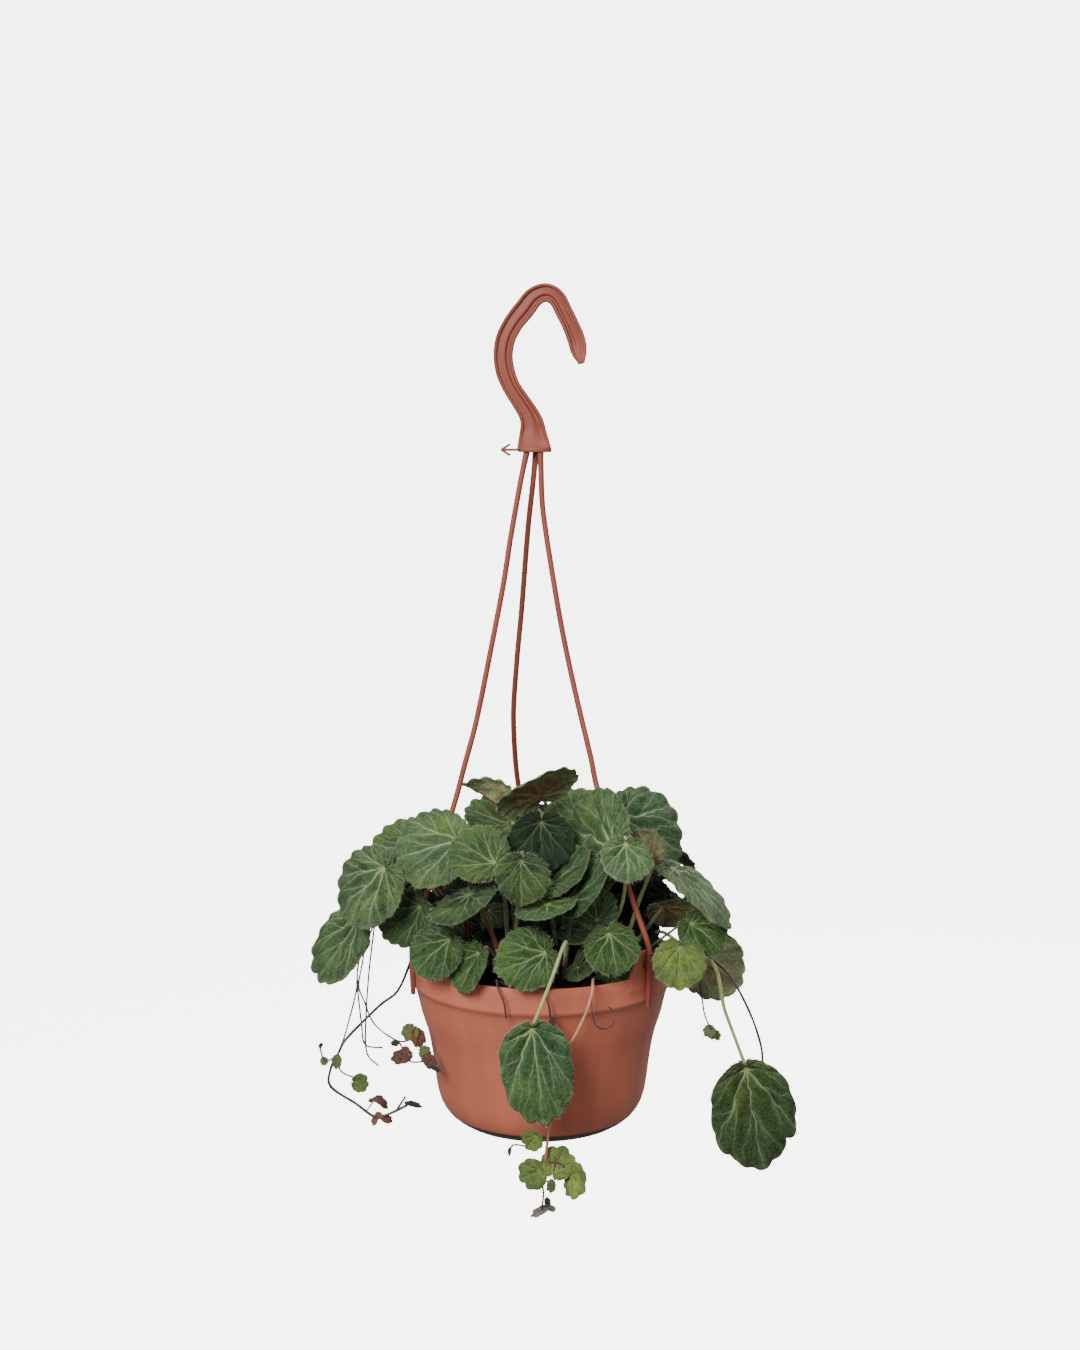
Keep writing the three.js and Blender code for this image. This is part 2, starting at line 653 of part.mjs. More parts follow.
// The ways a stalk may take, the straightest first: how far it bows to a side, and how soon it rises.
const BOWS = [
  [0, 0.5],
  [0, 0.75],
  [7, 0.6],
  [-7, 0.6],
  [0, 0.3],
  [13, 0.6],
  [-13, 0.6],
  [10, 0.35],
  [-10, 0.35],
];
function chooseStalk(leaf, leaves) {
  let best = null;
  for (const [bow, lift] of BOWS) {
    const line = stalkLine(leaf, bow, lift);
    const count = leaves.filter((other) => other !== leaf && goesThrough(line, other)).length;
    if (!best || count < best.count) best = { line, count };
    if (count === 0 || leaf.over.length) break;
  }
  return best;
}

// A blade alike on both faces: its middle, a ring half way out and its toothed edge.
function bladeSolid(leaf) {
  const edge = 2 * TEETH;
  const corners = [];
  const add = (angle, share) => {
    const r = share * reach(leaf.length, leaf.form.root, angle);
    const u = r * Math.cos(angle);
    const v = r * Math.sin(angle) * leaf.form.width;
    corners.push(spot(leaf, u, v, rise(leaf, u, v)));
  };
  add(0, 0);
  for (let k = 0; k < RING; k++) add(-Math.PI + (2 * Math.PI * k) / RING, RING_SHARE);
  for (let k = 0; k < edge; k++) add(-Math.PI + (2 * Math.PI * k) / edge, k % 2 ? TOOTH_NOTCH : TOOTH_TOP);
  const top = [];
  const ring = (k) => 1 + (k % RING);
  for (let k = 0; k < RING; k++) top.push([0, ring(k), ring(k + 1)]);
  for (let k = 0; k < edge; k++) {
    const near = (step) => Math.round(((step + 0.5) * RING) / edge) % RING;
    const a = 1 + RING + k;
    const b = 1 + RING + ((k + 1) % edge);
    top.push([ring(near(k)), a, b]);
    if (near(k) !== near(k + 1)) top.push([ring(near(k)), b, ring(near(k + 1))]);
  }
  const count = corners.length;
  const below = corners.map((p) => p.clone().addScaledVector(leaf.F, -BLADE));
  const faces = [...top, ...top.map(([a, b, c]) => [a + count, c + count, b + count])];
  for (let k = 0; k < edge; k++) {
    const a = 1 + RING + k;
    const b = 1 + RING + ((k + 1) % edge);
    faces.push([a, a + count, b + count], [a, b + count, b]);
  }
  return solid([...corners, ...below], faces);
}

// A crown: a short tapered stub in its hole in the soil. The hole is the same, straight and a little wider.
const HOLE_ROOM = 0.4;
function crownSolid(c, room = 0) {
  const height = CROWN.below + CROWN.above;
  const radius = CROWN.radius + room;
  return solidOf(
    new THREE.CylinderGeometry(radius * (room ? 1 : CROWN.taper), radius, height + 2 * room, CROWN.sides)
      .rotateX(Math.PI / 2)
      .translate(c.x, c.y, SOIL_Z - CROWN.below + height / 2),
  );
}

// The runners: red or purple threads from a hole in the soil over the rim. Each thread is its points, its
// radius and its steps from point to point, and each plantlet its middle, the way it faces, its leaves and
// their size.
const RUNNERS = {
  left: {
    hole: [-54, -8],
    threads: [
      [
        [
          [-54, -8, SOIL_Z - 3],
          [-55, -8, -372],
          [-60, 22, -368],
          [-66, 37, -362.5],
          [-69, 39.5, -361.5],
          [-76, 36, -368],
          [-79, 26, -380],
          [-85, 6, -391],
          [-94, -4, -396],
          [-105, -16, -404],
          [-113, -24, -411],
          [-117, -24, -419],
          [-121, -26, -427],
          [-121, -26, -437],
          [-107, -26, -447],
          [-96, -26, -455],
          [-88, -26, -453],
          [-78, -26, -448],
        ],
        0.8,
        1,
      ],
      [
        [
          [-55, -8, -372],
          [-66, 12, -353],
          [-84, 12, -344],
          [-97, -2, -348],
          [-103, -12, -358],
          [-106, -15, -372],
          [-107, -15, -385],
          [-113, -19, -408],
          [-117, -24, -419],
        ],
        0.5,
        1,
      ],
      [
        [
          [-97, -2, -348],
          [-101, -14, -357],
          [-103, -20, -368],
          [-105, -20, -380],
          [-102, -20, -389],
          [-96, -22, -402],
          [-82, -30, -409],
          [-72, -35, -405],
        ],
        0.5,
        1,
      ],
      [[[-97, -2, -348], [-100, -8, -374], [-102, -10, -400], [-102, -10, -422], [-95, -12, -430]], 0.5, 1],
      [[[-106.6, -15, -379], [-104, -18, -402], [-102, -18, -415], [-92, -18, -417]], 0.5, 1],
      [[[-82, -30, -409], [-79, -34, -413], [-75, -38, -418], [-67, -41, -417]], 0.5, 1],
      [[[-117, -24, -419], [-124, -26, -422], [-127, -26, -413]], 0.5, 1],
      [[[-117, -24, -419], [-115, -26, -428], [-104, -26, -433]], 0.5, 1],
      [[[-84, -26, -451], [-79, -26, -443]], 0.6, 1],
    ],
    plantlets: [
      [[-118, -26, -421], [0.1, -0.9, 0.3], 2, 9],
      [[-126, -26, -420], [-0.2, -0.9, 0.3], 1, 6],
      [[-103, -27, -433], [0.1, -0.9, 0.4], 1, 11],
      [[-97, -26, -454.5], [0, -0.9, 0.3], 3, 8],
      [[-72, -36, -405], [0.2, -0.8, 0.5], 3, 9],
      [[-79, -34, -413], [-0.2, -0.8, 0.5], 2, 10],
      [[-67, -41, -417], [0.2, -0.8, 0.5], 3, 9],
    ],
  },
  front: {
    hole: [26, -54],
    threads: [
      [
        [
          [26, -54, SOIL_Z - 3],
          [26, -57, -371],
          [26, -66, -363],
          [25.5, -72.5, -361.2],
          [25, -77.5, -366],
          [22, -79, -376],
          [16, -79.5, -389],
          [10, -80, -399],
          [5, -80, -419],
          [2, -79.5, -442],
          [0, -79, -460],
        ],
        0.8,
        2,
      ],
      [
        [
          [24.6, -78, -369],
          [25, -80, -376],
          [27, -80, -383],
          [31, -79, -385.5],
          [36, -77, -384],
          [37, -74, -379],
          [34, -73, -375],
        ],
        0.5,
        2,
      ],
      [
        [
          [26, -57, -371],
          [6, -58, -370],
          [-14, -60, -369],
          [-25, -66, -363.5],
          [-26, -71.5, -361.4],
          [-25, -76, -365],
          [-22, -77.5, -372],
          [-21, -77.5, -380],
        ],
        0.5,
        1,
      ],
      [
        [
          [6, -58, -370],
          [1, -68, -364],
          [-1, -75, -361.4],
          [0, -79, -366],
          [2, -80, -373],
          [3, -79.5, -381],
        ],
        0.5,
        1,
      ],
      [[[1, -79.5, -446], [-6, -80, -451], [-17, -80, -450], [-19, -80, -455]], 0.5, 1],
      [[[0, -79, -460], [8, -79, -461], [14, -79, -468]], 0.5, 1],
      [[[0, -79, -458], [-5, -79, -464], [-1, -79, -476], [-2, -79, -487]], 0.5, 1],
    ],
    plantlets: [
      [[-8, -80, -450], [0, -0.95, 0.2], 2, 10],
      [[-6, -80, -466], [0, -0.95, 0.25], 3, 14],
      [[9, -79, -461], [0.1, -0.9, 0.4], 3, 15],
      [[14, -79, -468.5], [0.2, -0.95, 0.1], 2, 13],
      [[-2, -79, -486.5], [0, -0.9, 0.4], 2, 7],
      [[3, -80, -380], [0, -0.9, 0.3], 1, 6],
    ],
  },
  right: {
    hole: [52, -12],
    threads: [
      [
        [
          [52, -12, SOIL_Z - 3],
          [53, -12, -371],
          [66, -17, -362],
          [75, -20, -360],
          [84, -25, -357.5],
          [92, -29, -361],
          [103, -30, -371],
          [114, -30, -391],
          [121, -30, -411],
          [122, -30, -424],
          [120, -27, -436],
        ],
        0.7,
        2,
      ],
      [[[82, -24, -358], [86, -34, -374], [89, -35, -392], [94, -35, -403]], 0.5, 2],
    ],
    plantlets: [
      [[120, -27, -436], [0, -0.9, 0.3], 3, 11],
      [[93.5, -35, -402], [0.1, -0.9, 0.3], 2, 8],
    ],
  },
  back: {
    hole: [-14, 54],
    threads: [
      [
        [
          [-14, 54, SOIL_Z - 3],
          [-14, 57, -370],
          [-15, 66, -363],
          [-16, 74.5, -361.4],
          [-18, 80, -367],
          [-22, 84, -385],
          [-26, 84, -405],
          [-24, 82, -428],
          [-16, 81, -446],
        ],
        0.7,
        2,
      ],
      [
        [
          [-14, 57, -370],
          [8, 56, -370],
          [26, 60, -366],
          [34, 67.5, -361.4],
          [38, 74, -367],
          [44, 78, -384],
          [46, 78, -404],
        ],
        0.6,
        2,
      ],
    ],
    plantlets: [
      [[-26, 84, -405], [-0.2, 0.9, 0.3], 2, 11],
      [[-16, 81, -446], [0, 0.9, 0.3], 3, 13],
      [[46, 78, -404], [0.3, 0.9, 0.3], 3, 12],
    ],
  },
};

// A plantlet: round toothed leaves side by side round their middle, or a single leaf, as one cupped blade.
const LEAFLET = { thick: 0.8, teeth: 5, out: 0.62, radius: 0.46, valley: 0.18, cup: 0.12 };
function leafletReach(size, count, angle) {
  if (count === 1) return reach(size, FORMS.flat.root, angle);
  const inside = LEAFLET.radius ** 2 - (LEAFLET.out * Math.sin(angle)) ** 2;
  if (inside < 0 || Math.abs(angle) > Math.PI / 2) return LEAFLET.valley * size;
  return size * Math.max(LEAFLET.valley, LEAFLET.out * Math.cos(angle) + Math.sqrt(inside));
}
function plantletSolid([middle, facing, count, size], seed) {
  const face = at(...facing).normalize();
  const across = at(0, 0, 1).cross(face).normalize();
  const upward = face.clone().cross(across);
  const corners = [at(...middle)];
  const edge = 2 * LEAFLET.teeth;
  for (let k = 0; k < edge * count; k++) {
    const angle = ((k % edge) / edge - 0.5) * ((2 * Math.PI) / count);
    const tooth = k % 2 ? TOOTH_NOTCH : TOOTH_TOP;
    const r = tooth * leafletReach(size, count, angle);
    const turn = (2 * Math.PI * k) / (edge * count) + seed;
    corners.push(
      corners[0]
        .clone()
        .addScaledVector(across, r * Math.cos(turn))
        .addScaledVector(upward, r * Math.sin(turn))
        .addScaledVector(face, LEAFLET.cup * r),
    );
  }
  const below = corners.map((p) => p.clone().addScaledVector(face, -LEAFLET.thick));
  const faces = [];
  const total = edge * count;
  for (let k = 0; k < total; k++) {
    const a = 1 + k;
    const b = 1 + ((k + 1) % total);
    const c = corners.length;
    faces.push([0, a, b], [c, b + c, a + c], [a, a + c, b + c], [a, b + c, b]);
  }
  return solid([...corners, ...below], faces);
}

const threadLine = ([points, , steps]) => route(list(points), steps * (points.length - 1));

// A runner and its branches. The thicker ones have a side more.
const FINE_THREAD = 0.7;
function runnerSolid({ threads, plantlets }) {
  const rods = threads.map((thread) => {
    const radius = thread[1];
    return rod(threadLine(thread), radius, radius, radius > FINE_THREAD ? 4 : 3);
  });
  return join([...rods, ...plantlets.map(plantletSolid)]);
}

const leaves = LEAVES.map(makeLeaf);

// The arms among the leaves, and the runners: what the leaves make room for besides each other.
const NEEDLE_STEPS = 60;
const NEEDLE_TOP = -250;
const needles = [
  ...ARM_LINES.map((line) => route(line, NEEDLE_STEPS).filter((p) => p.z < NEEDLE_TOP)),
  ...Object.values(RUNNERS).flatMap((runner) => runner.threads.map(threadLine)),
];
settle(leaves, needles);
for (const leaf of leaves) leaf.crown = crownOf(leaf);
const stalks = leaves.map((leaf) => chooseStalk(leaf, leaves));

const root = new THREE.Group();
root.name = "hanging_strawberry_begonia";
root.add(mesh("pot", makePot(), COLOURS.plastic, 0.35));
root.add(mesh("hanger", makeHanger(), COLOURS.plastic, 0.35));
const RUNNER_HOLE = { half: 2, deep: 4 };
const runnerHole = ({ hole: [x, y] }) => {
  const { half, deep } = RUNNER_HOLE;
  return box(x - half, x + half, y - half, y + half, SOIL_Z - deep, SOIL_Z + deep);
};
const holes = [...CROWNS.map((c) => crownSolid(c, HOLE_ROOM)), ...Object.values(RUNNERS).map(runnerHole)];
root.add(mesh("soil", makeSoil(holes), COLOURS.soil, 0.95));
CROWNS.forEach((crown, n) => {
  const parts = [crownSolid(crown)];
  leaves.forEach((leaf, i) => {
    if (leaf.crown !== crown) return;
    const sides = leaf.over.length ? LONG_STALK_SIDES : STALK_SIDES;
    parts.push(rod(stalks[i].line, STALK_BASE, STALK_TIP, sides, STALK_END), bladeSolid(leaf));
  });
  root.add(mesh("rosette_" + (n + 1), join(parts).simplify(DETAIL), COLOURS.leaf, 0.7));
});
for (const [side, runner] of Object.entries(RUNNERS)) {
  root.add(mesh("runner_" + side, runnerSolid(runner).simplify(DETAIL), COLOURS.runner, 0.7));
}

export default root;
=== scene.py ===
import contextlib
import math

import bpy
import numpy as np
from mathutils import Matrix, Vector, noise


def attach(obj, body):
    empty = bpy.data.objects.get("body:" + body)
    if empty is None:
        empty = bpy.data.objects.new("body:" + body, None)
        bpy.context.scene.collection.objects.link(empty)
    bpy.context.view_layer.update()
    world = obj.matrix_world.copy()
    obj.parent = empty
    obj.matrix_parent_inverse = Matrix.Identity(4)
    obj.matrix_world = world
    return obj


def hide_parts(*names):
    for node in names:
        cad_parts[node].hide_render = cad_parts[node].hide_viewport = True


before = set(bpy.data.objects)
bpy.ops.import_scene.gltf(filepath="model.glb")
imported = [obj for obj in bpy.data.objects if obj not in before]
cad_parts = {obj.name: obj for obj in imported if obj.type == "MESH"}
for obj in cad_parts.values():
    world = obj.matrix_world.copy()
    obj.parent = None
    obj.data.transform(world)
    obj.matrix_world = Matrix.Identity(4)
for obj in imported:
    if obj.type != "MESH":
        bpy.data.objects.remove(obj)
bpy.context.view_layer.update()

# Camera: a little above the middle of the hanging plant, with the picture's frame of 1080 by 1350. The
# lens's focal length is in the picture's pixels.
MM = 0.001
PICTURE_HEIGHT = 1350
FOCAL_PIXELS = 1960
CAMERA_DISTANCE = 1.1
CAMERA_TILT = math.radians(8.2)
AIM = Vector((-0.0028, 0, -0.20585))
camera_data = bpy.data.cameras.new("camera")
camera_data.sensor_fit = "VERTICAL"
camera_data.sensor_height = 36
camera_data.lens = camera_data.sensor_height * FOCAL_PIXELS / PICTURE_HEIGHT
camera = bpy.data.objects.new("camera", camera_data)
camera.location = AIM + CAMERA_DISTANCE * Vector((0, -math.cos(CAMERA_TILT), math.sin(CAMERA_TILT)))
camera.rotation_euler = (math.pi / 2 - CAMERA_TILT, 0, 0)
bpy.context.scene.collection.objects.link(camera)
bpy.context.scene.camera = camera


# Stage: a flat pale floor far below the plant that sweeps up all round into a plain backdrop. It is bright
# from every side, and throws no light of its own on the plant.
def feed(tree, node, inputs):
    """Sets a node's inputs, each to a value or to another node's output."""
    for key, value in inputs.items():
        if isinstance(value, bpy.types.NodeSocket):
            tree.links.new(value, node.inputs[key])
        else:
            node.inputs[key].default_value = value


def add_node(tree, kind, inputs=None, **settings):
    made = tree.nodes.new("ShaderNode" + kind)
    for key, value in settings.items():
        setattr(made, key, value)
    feed(tree, made, inputs or {})
    return made


def object_place(tree):
    return add_node(tree, "TexCoord").outputs["Object"]


def cloudy(tree, place, scale, detail=2, roughness=0.5):
    """Soft clouds over a place, from 0 to 1."""
    inputs = {"Vector": place, "Scale": scale, "Detail": detail, "Roughness": roughness}
    return add_node(tree, "TexNoise", inputs).outputs["Fac"]


def graded(tree, value, low, high, start=0, end=1, **settings):
    """A value's way from low to high as one from start to end, which it doesn't pass."""
    inputs = {"Value": value, "From Min": low, "From Max": high, "To Min": start, "To Max": end}
    return add_node(tree, "MapRange", inputs, **settings).outputs["Result"]


def shades(tree, value, *stops):
    """A value as a colour, by stops of value and colour."""
    made = add_node(tree, "ValToRGB", {"Fac": value})
    elements = made.color_ramp.elements
    for k, (position, colour) in enumerate(stops):
        element = elements[k] if k < 2 else elements.new(position)
        element.position = position
        element.color = colour
    return made.outputs["Color"]


def scaled(tree, colour, factor):
    return add_node(tree, "VectorMath", {0: colour, "Scale": factor}, operation="SCALE").outputs[0]


def mix(tree, share, first, second):
    inputs = {"Factor": share, "A": first, "B": second}
    return add_node(tree, "Mix", inputs, data_type="RGBA").outputs["Result"]


def bumped(tree, height, strength, distance):
    inputs = {"Strength": strength, "Distance": distance, "Height": height}
    return add_node(tree, "Bump", inputs).outputs["Normal"]


def new_material(name, **sockets):
    material = bpy.data.materials.new(name)
    material.use_nodes = True
    tree = material.node_tree
    surface = tree.nodes["Principled BSDF"]
    feed(tree, surface, {key.replace("_", " "): value for key, value in sockets.items()})
    return material, tree, surface


def linear(red, green, blue):
    steps = (c / 255 for c in (red, green, blue))
    return tuple(c / 12.92 if c <= 0.04045 else ((c + 0.055) / 1.055) ** 2.4 for c in steps) + (1,)


def added(name):
    piece = bpy.context.active_object
    piece.name = name
    piece.data.name = name
    return piece


@contextlib.contextmanager
def shaping():
    """The active piece in edit mode, with all of it selected."""
    bpy.ops.object.mode_set(mode="EDIT")
    bpy.ops.mesh.select_all(action="SELECT")
    yield
    bpy.ops.object.mode_set(mode="OBJECT")


def draw_down(name, rings, segments, x, z):
    """A turned surface: a circle at the first ring, extruded and resized to each next one, then closed."""
    (first, top), *rest = rings
    bpy.ops.object.select_all(action="DESELECT")
    bpy.ops.mesh.primitive_circle_add(
        vertices=segments, radius=first * MM, location=(x * MM, 0, (z + top) * MM)
    )
    bpy.ops.object.transform_apply(location=True)
    piece = added(name)
    radius, height = first, top
    with shaping():
        for wide, high in rest:
            bpy.ops.mesh.extrude_region_move(TRANSFORM_OT_translate={"value": (0, 0, (high - height) * MM)})
            share = wide / radius
            bpy.ops.transform.resize(value=(share, share, 1), center_override=(x * MM, 0, (z + high) * MM))
            radius, height = wide, high
        bpy.ops.mesh.merge(type="CENTER")
        bpy.ops.mesh.select_all(action="SELECT")
        bpy.ops.mesh.normals_make_consistent(inside=False)
    return piece


FLOOR_Z = -800
SWEEP_RADIUS = 1000
STAGE_RADIUS = 3600
STAGE_TOP = 3600
SWEEP_STEPS = 16
sweep = [
    (
        STAGE_RADIUS - SWEEP_RADIUS * (1 - math.cos(k / SWEEP_STEPS * math.pi / 2)),
        FLOOR_Z + SWEEP_RADIUS * (1 - math.sin(k / SWEEP_STEPS * math.pi / 2)),
    )
    for k in range(SWEEP_STEPS + 1)
]
floor = draw_down("floor", [(STAGE_RADIUS, STAGE_TOP), *sweep, (1200, FLOOR_Z), (100, FLOOR_Z)], 96, 0, 0)
bpy.ops.object.shade_smooth()
pale, pale_tree, pale_surface = new_material(
    "pale_paper", Roughness=0.9, Emission_Color=linear(251, 248, 245), Emission_Strength=5.2,
)
pale_grain = cloudy(pale_tree, object_place(pale_tree), 1.4)
pale_tone = shades(pale_tree, pale_grain, (0, linear(240, 236, 232)), (1, linear(247, 246, 245)))
feed(pale_tree, pale_surface, {"Base Color": pale_tone})
floor.data.materials.append(pale)
floor.visible_diffuse = False
floor.visible_glossy = False
floor.visible_shadow = False

# Light: an even room that is brighter above than below, a broad soft light in front, and weaker ones
# overhead and behind.
ROOM_BELOW, ROOM_ABOVE = 0.26, 0.68
world = bpy.data.worlds.new("studio")
world.use_nodes = True
room = world.node_tree.nodes["Background"]
room.inputs["Color"].default_value = (1, 0.99, 0.98, 1)
room_way = add_node(world.node_tree, "TexCoord").outputs["Generated"]
room_up = add_node(world.node_tree, "SeparateXYZ", {0: room_way}).outputs[2]
room_glow = graded(world.node_tree, room_up, -0.6, 0.4, ROOM_BELOW, ROOM_ABOVE)
feed(world.node_tree, room, {"Strength": room_glow})
bpy.context.scene.world = world
LIGHTS = {
    "front": ((-0.6, -1.4, 0.6), 0.65, 45),
    "overhead": ((0.1, 0, 1.3), 0.7, 20),
    "back": ((0.9, 1.3, 0.3), 0.9, 16),
}
for light_name, (light_place, light_size, light_power) in LIGHTS.items():
    light_data = bpy.data.lights.new(light_name, "AREA")
    light_data.size = light_size
    light_data.energy = light_power
    light = bpy.data.objects.new(light_name, light_data)
    light.location = light_place
    light.rotation_euler = (AIM - light.location).to_track_quat("-Z", "Y").to_euler()
    bpy.context.scene.collection.objects.link(light)


# Pot: a round hanging pot moulded from brown plastic in one piece, with a rim band, a bead under the band, a
# foot that rounds in, and three ears on the rim. Its wall is drawn down from the lip ring by ring.
RIM_RADIUS = 75
RIM_Z = -365
POT_X = -2
POT_SEGMENTS = 144
POT_OUTSIDE = [
    (74.1, 0), (74.7, -0.3), (75, -0.9), (75.1, -6), (75.1, -12.9), (75.2, -13.5), (75.1, -14.2), (74.7, -15),
    (74, -15.9), (73.2, -16.9), (72.5, -18.2), (71.8, -20.4), (70.4, -26), (69.1, -32), (67.1, -38.5),
    (65.6, -43), (64.2, -49), (62.9, -56.5), (61.8, -65), (60.6, -74.5), (59.7, -80), (58.3, -84.6),
    (56.5, -88.3), (54.2, -91.4), (51.5, -93.8), (49, -95.3), (48.2, -95.9), (47, -96), (45.6, -95.6),
    (44.6, -94.9), (12, -94.7),
]
POT_INSIDE = [
    (73.5, -0.2), (73.2, -0.9), (73.2, -11), (70.8, -16.4), (68, -29), (64.2, -43), (61, -57), (58.4, -76),
    (54.8, -87), (47, -93.2), (12, -93),
]


def join_pieces(name, pieces):
    bpy.ops.object.select_all(action="DESELECT")
    for part in pieces:
        part.select_set(True)
    bpy.context.view_layer.objects.active = pieces[0]
    if len(pieces) > 1:
        bpy.ops.object.join()
    return added(name)


outside = draw_down("pot_outside", POT_OUTSIDE, POT_SEGMENTS, POT_X, RIM_Z)
inside = draw_down("pot_inside", [(74.1, 0), *POT_INSIDE], POT_SEGMENTS, POT_X, RIM_Z)
with shaping():
    bpy.ops.mesh.flip_normals()
pot = join_pieces("pot_body", [outside, inside])
with shaping():
    bpy.ops.mesh.remove_doubles(threshold=0.00001)
    bpy.ops.mesh.normals_make_consistent(inside=False)

EAR_TURNS = (50, -70, 170)
EAR_FOOT = 28
EAR_TOP = 8.8
EAR_HEIGHT = 14
EAR_BELOW = 8
EAR_THICK = 2
SLOT_WIDTH = 6
SLOT_HEIGHT = 4
SLOT_UP = 6.5


def around_pot(piece, turn):
    """Bends a piece made flat against the rim's front round the pot's wall and turns it to its place."""
    for vertex in piece.data.vertices:
        x, y, z = vertex.co / MM
        angle = math.radians(turn) + x / RIM_RADIUS
        radius = RIM_RADIUS - y
        vertex.co = Vector((POT_X + radius * math.sin(angle), -radius * math.cos(angle), RIM_Z + z)) * MM
    return piece


def block(name, low, high, bevel=0.0, cuts=0):
    """A cube resized to run from one corner to the other in millimetres, cut finer and with rounded edges."""
    low, high = Vector(low) * MM, Vector(high) * MM
    bpy.ops.object.select_all(action="DESELECT")
    bpy.ops.mesh.primitive_cube_add(size=1, location=(low + high) / 2)
    piece = added(name)
    piece.scale = high - low
    bpy.ops.object.transform_apply(location=True, scale=True)
    if bevel:
        rounding = piece.modifiers.new("rounding", "BEVEL")
        rounding.width = bevel * MM
        rounding.segments = 2
        bpy.ops.object.modifier_apply(modifier="rounding")
    if cuts:
        with shaping():
            bpy.ops.mesh.subdivide(number_cuts=cuts)
    return piece


def boolean(piece, other, operation):
    bpy.ops.object.select_all(action="DESELECT")
    bpy.context.view_layer.objects.active = piece
    piece.select_set(True)
    change = piece.modifiers.new("change", "BOOLEAN")
    change.operation = operation
    change.object = other
    change.solver = "EXACT"
    bpy.ops.object.modifier_apply(modifier="change")
    bpy.data.objects.remove(other)
    return piece


for ear_turn in EAR_TURNS:
    half = EAR_FOOT / 2
    ear = block("ear", (-half, -0.2, -EAR_BELOW), (half, EAR_THICK, EAR_HEIGHT), bevel=0.5, cuts=7)
    for vertex in ear.data.vertices:
        up = max(vertex.co.z / MM, 0) / EAR_HEIGHT
        vertex.co.x *= 1 + (EAR_TOP / EAR_FOOT - 1) * up ** 0.8
    slot = block(
        "slot",
        (-SLOT_WIDTH / 2, -3, SLOT_UP - SLOT_HEIGHT / 2),
        (SLOT_WIDTH / 2, EAR_THICK + 3, SLOT_UP + SLOT_HEIGHT / 2),
        bevel=0.6,
    )
    pot = boolean(pot, around_pot(boolean(ear, slot, "DIFFERENCE"), ear_turn), "UNION")
bpy.ops.object.select_all(action="DESELECT")
pot.select_set(True)
bpy.context.view_layer.objects.active = pot
bpy.ops.object.shade_smooth_by_angle(angle=math.radians(35))


def moulded_plastic(name, colour, worn, roughness, foot):
    """Brown moulded plastic: cloudy, faintly streaked downwards, dusty, and with painted shade, a near-black
    brown, below its foot's edge.
    """
    material, tree, surface = new_material(name, Roughness=roughness, IOR=1.45, Specular_IOR_Level=0.32)
    place = object_place(tree)
    cloud = cloudy(tree, place, 22, 5, 0.55)
    speckle = cloudy(tree, place, 420, 3)
    drawn = add_node(tree, "VectorMath", {0: place, 1: (1, 1, 0.04)}, operation="MULTIPLY").outputs[0]
    streak = cloudy(tree, drawn, 70, 3)
    height = add_node(tree, "SeparateXYZ", {0: place}).outputs[2]
    tone = shades(tree, cloud, (0.3, colour), (0.85, worn))
    tone = mix(tree, graded(tree, speckle, 0.64, 0.8, 0, 0.18), tone, linear(166, 112, 90))
    tone = scaled(tree, tone, graded(tree, streak, 0.3, 0.7, 0.9, 1.07))
    # Painted shade: below the foot's edge the colour turns near-black brown, standing in for the shaded
    # underside of the foot.
    low = graded(tree, height, foot + 0.0062, foot + 0.005, 0, 0.95)
    gloss = graded(tree, cloud, 0, 1, roughness - 0.08, roughness + 0.14)
    feed(tree, surface, {
        "Base Color": mix(tree, low, tone, linear(38, 12, 14)),
        "Roughness": gloss,
        "Normal": bumped(tree, speckle, 0.25, 0.0002),
    })
    return material


pot.data.materials.clear()
pot.data.materials.append(
    moulded_plastic("pot_plastic", linear(168, 91, 69), linear(174, 101, 79), 0.4, -0.461)
)
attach(pot, "root")
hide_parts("pot")

# Hanger: hook, collar, label holder and three arms moulded in one piece of the same plastic. The hook's
# faces are recessed between raised edges, and each arm ends in a flat tail with a stud in an ear's slot.
HOOK_DEPTH = 7
HOOK_WEB = 2.6
FLANGE = 1.8
HOOK_STEPS = 5
HOOK_LINE = [
    (-6.1, -79.4, 9.5), (-6.6, -71.9, 7.8), (-7.2, -65.6, 6.5), (-9.3, -60.2, 5.6), (-13.2, -54, 5.2),
    (-18.4, -46, 5), (-21.8, -37.6, 5.3), (-23, -29, 5.3), (-22.1, -21.6, 5.4), (-20, -16, 5.4),
    (-16.2, -9.8, 5.5), (-11.2, -3.8, 5.7), (-6.2, 2.4, 5.4), (0.2, 5.1, 5), (6.2, 2.2, 4.8),
    (10.4, -5.4, 4.7), (14, -12.6, 4.7), (17, -20, 4.9), (18.6, -27, 4.3), (20, -33.4, 1.6),
]
COLLAR_X = -5.7
COLLAR_TOP = -78.9
COLLAR_HEIGHT = 2.6
COLLAR_RADIUS = 9.3
COLLAR_FLATNESS = 0.62
ARM_RADIUS = 1.6
ARM_SIDES = 12
ARM_STEPS = 72
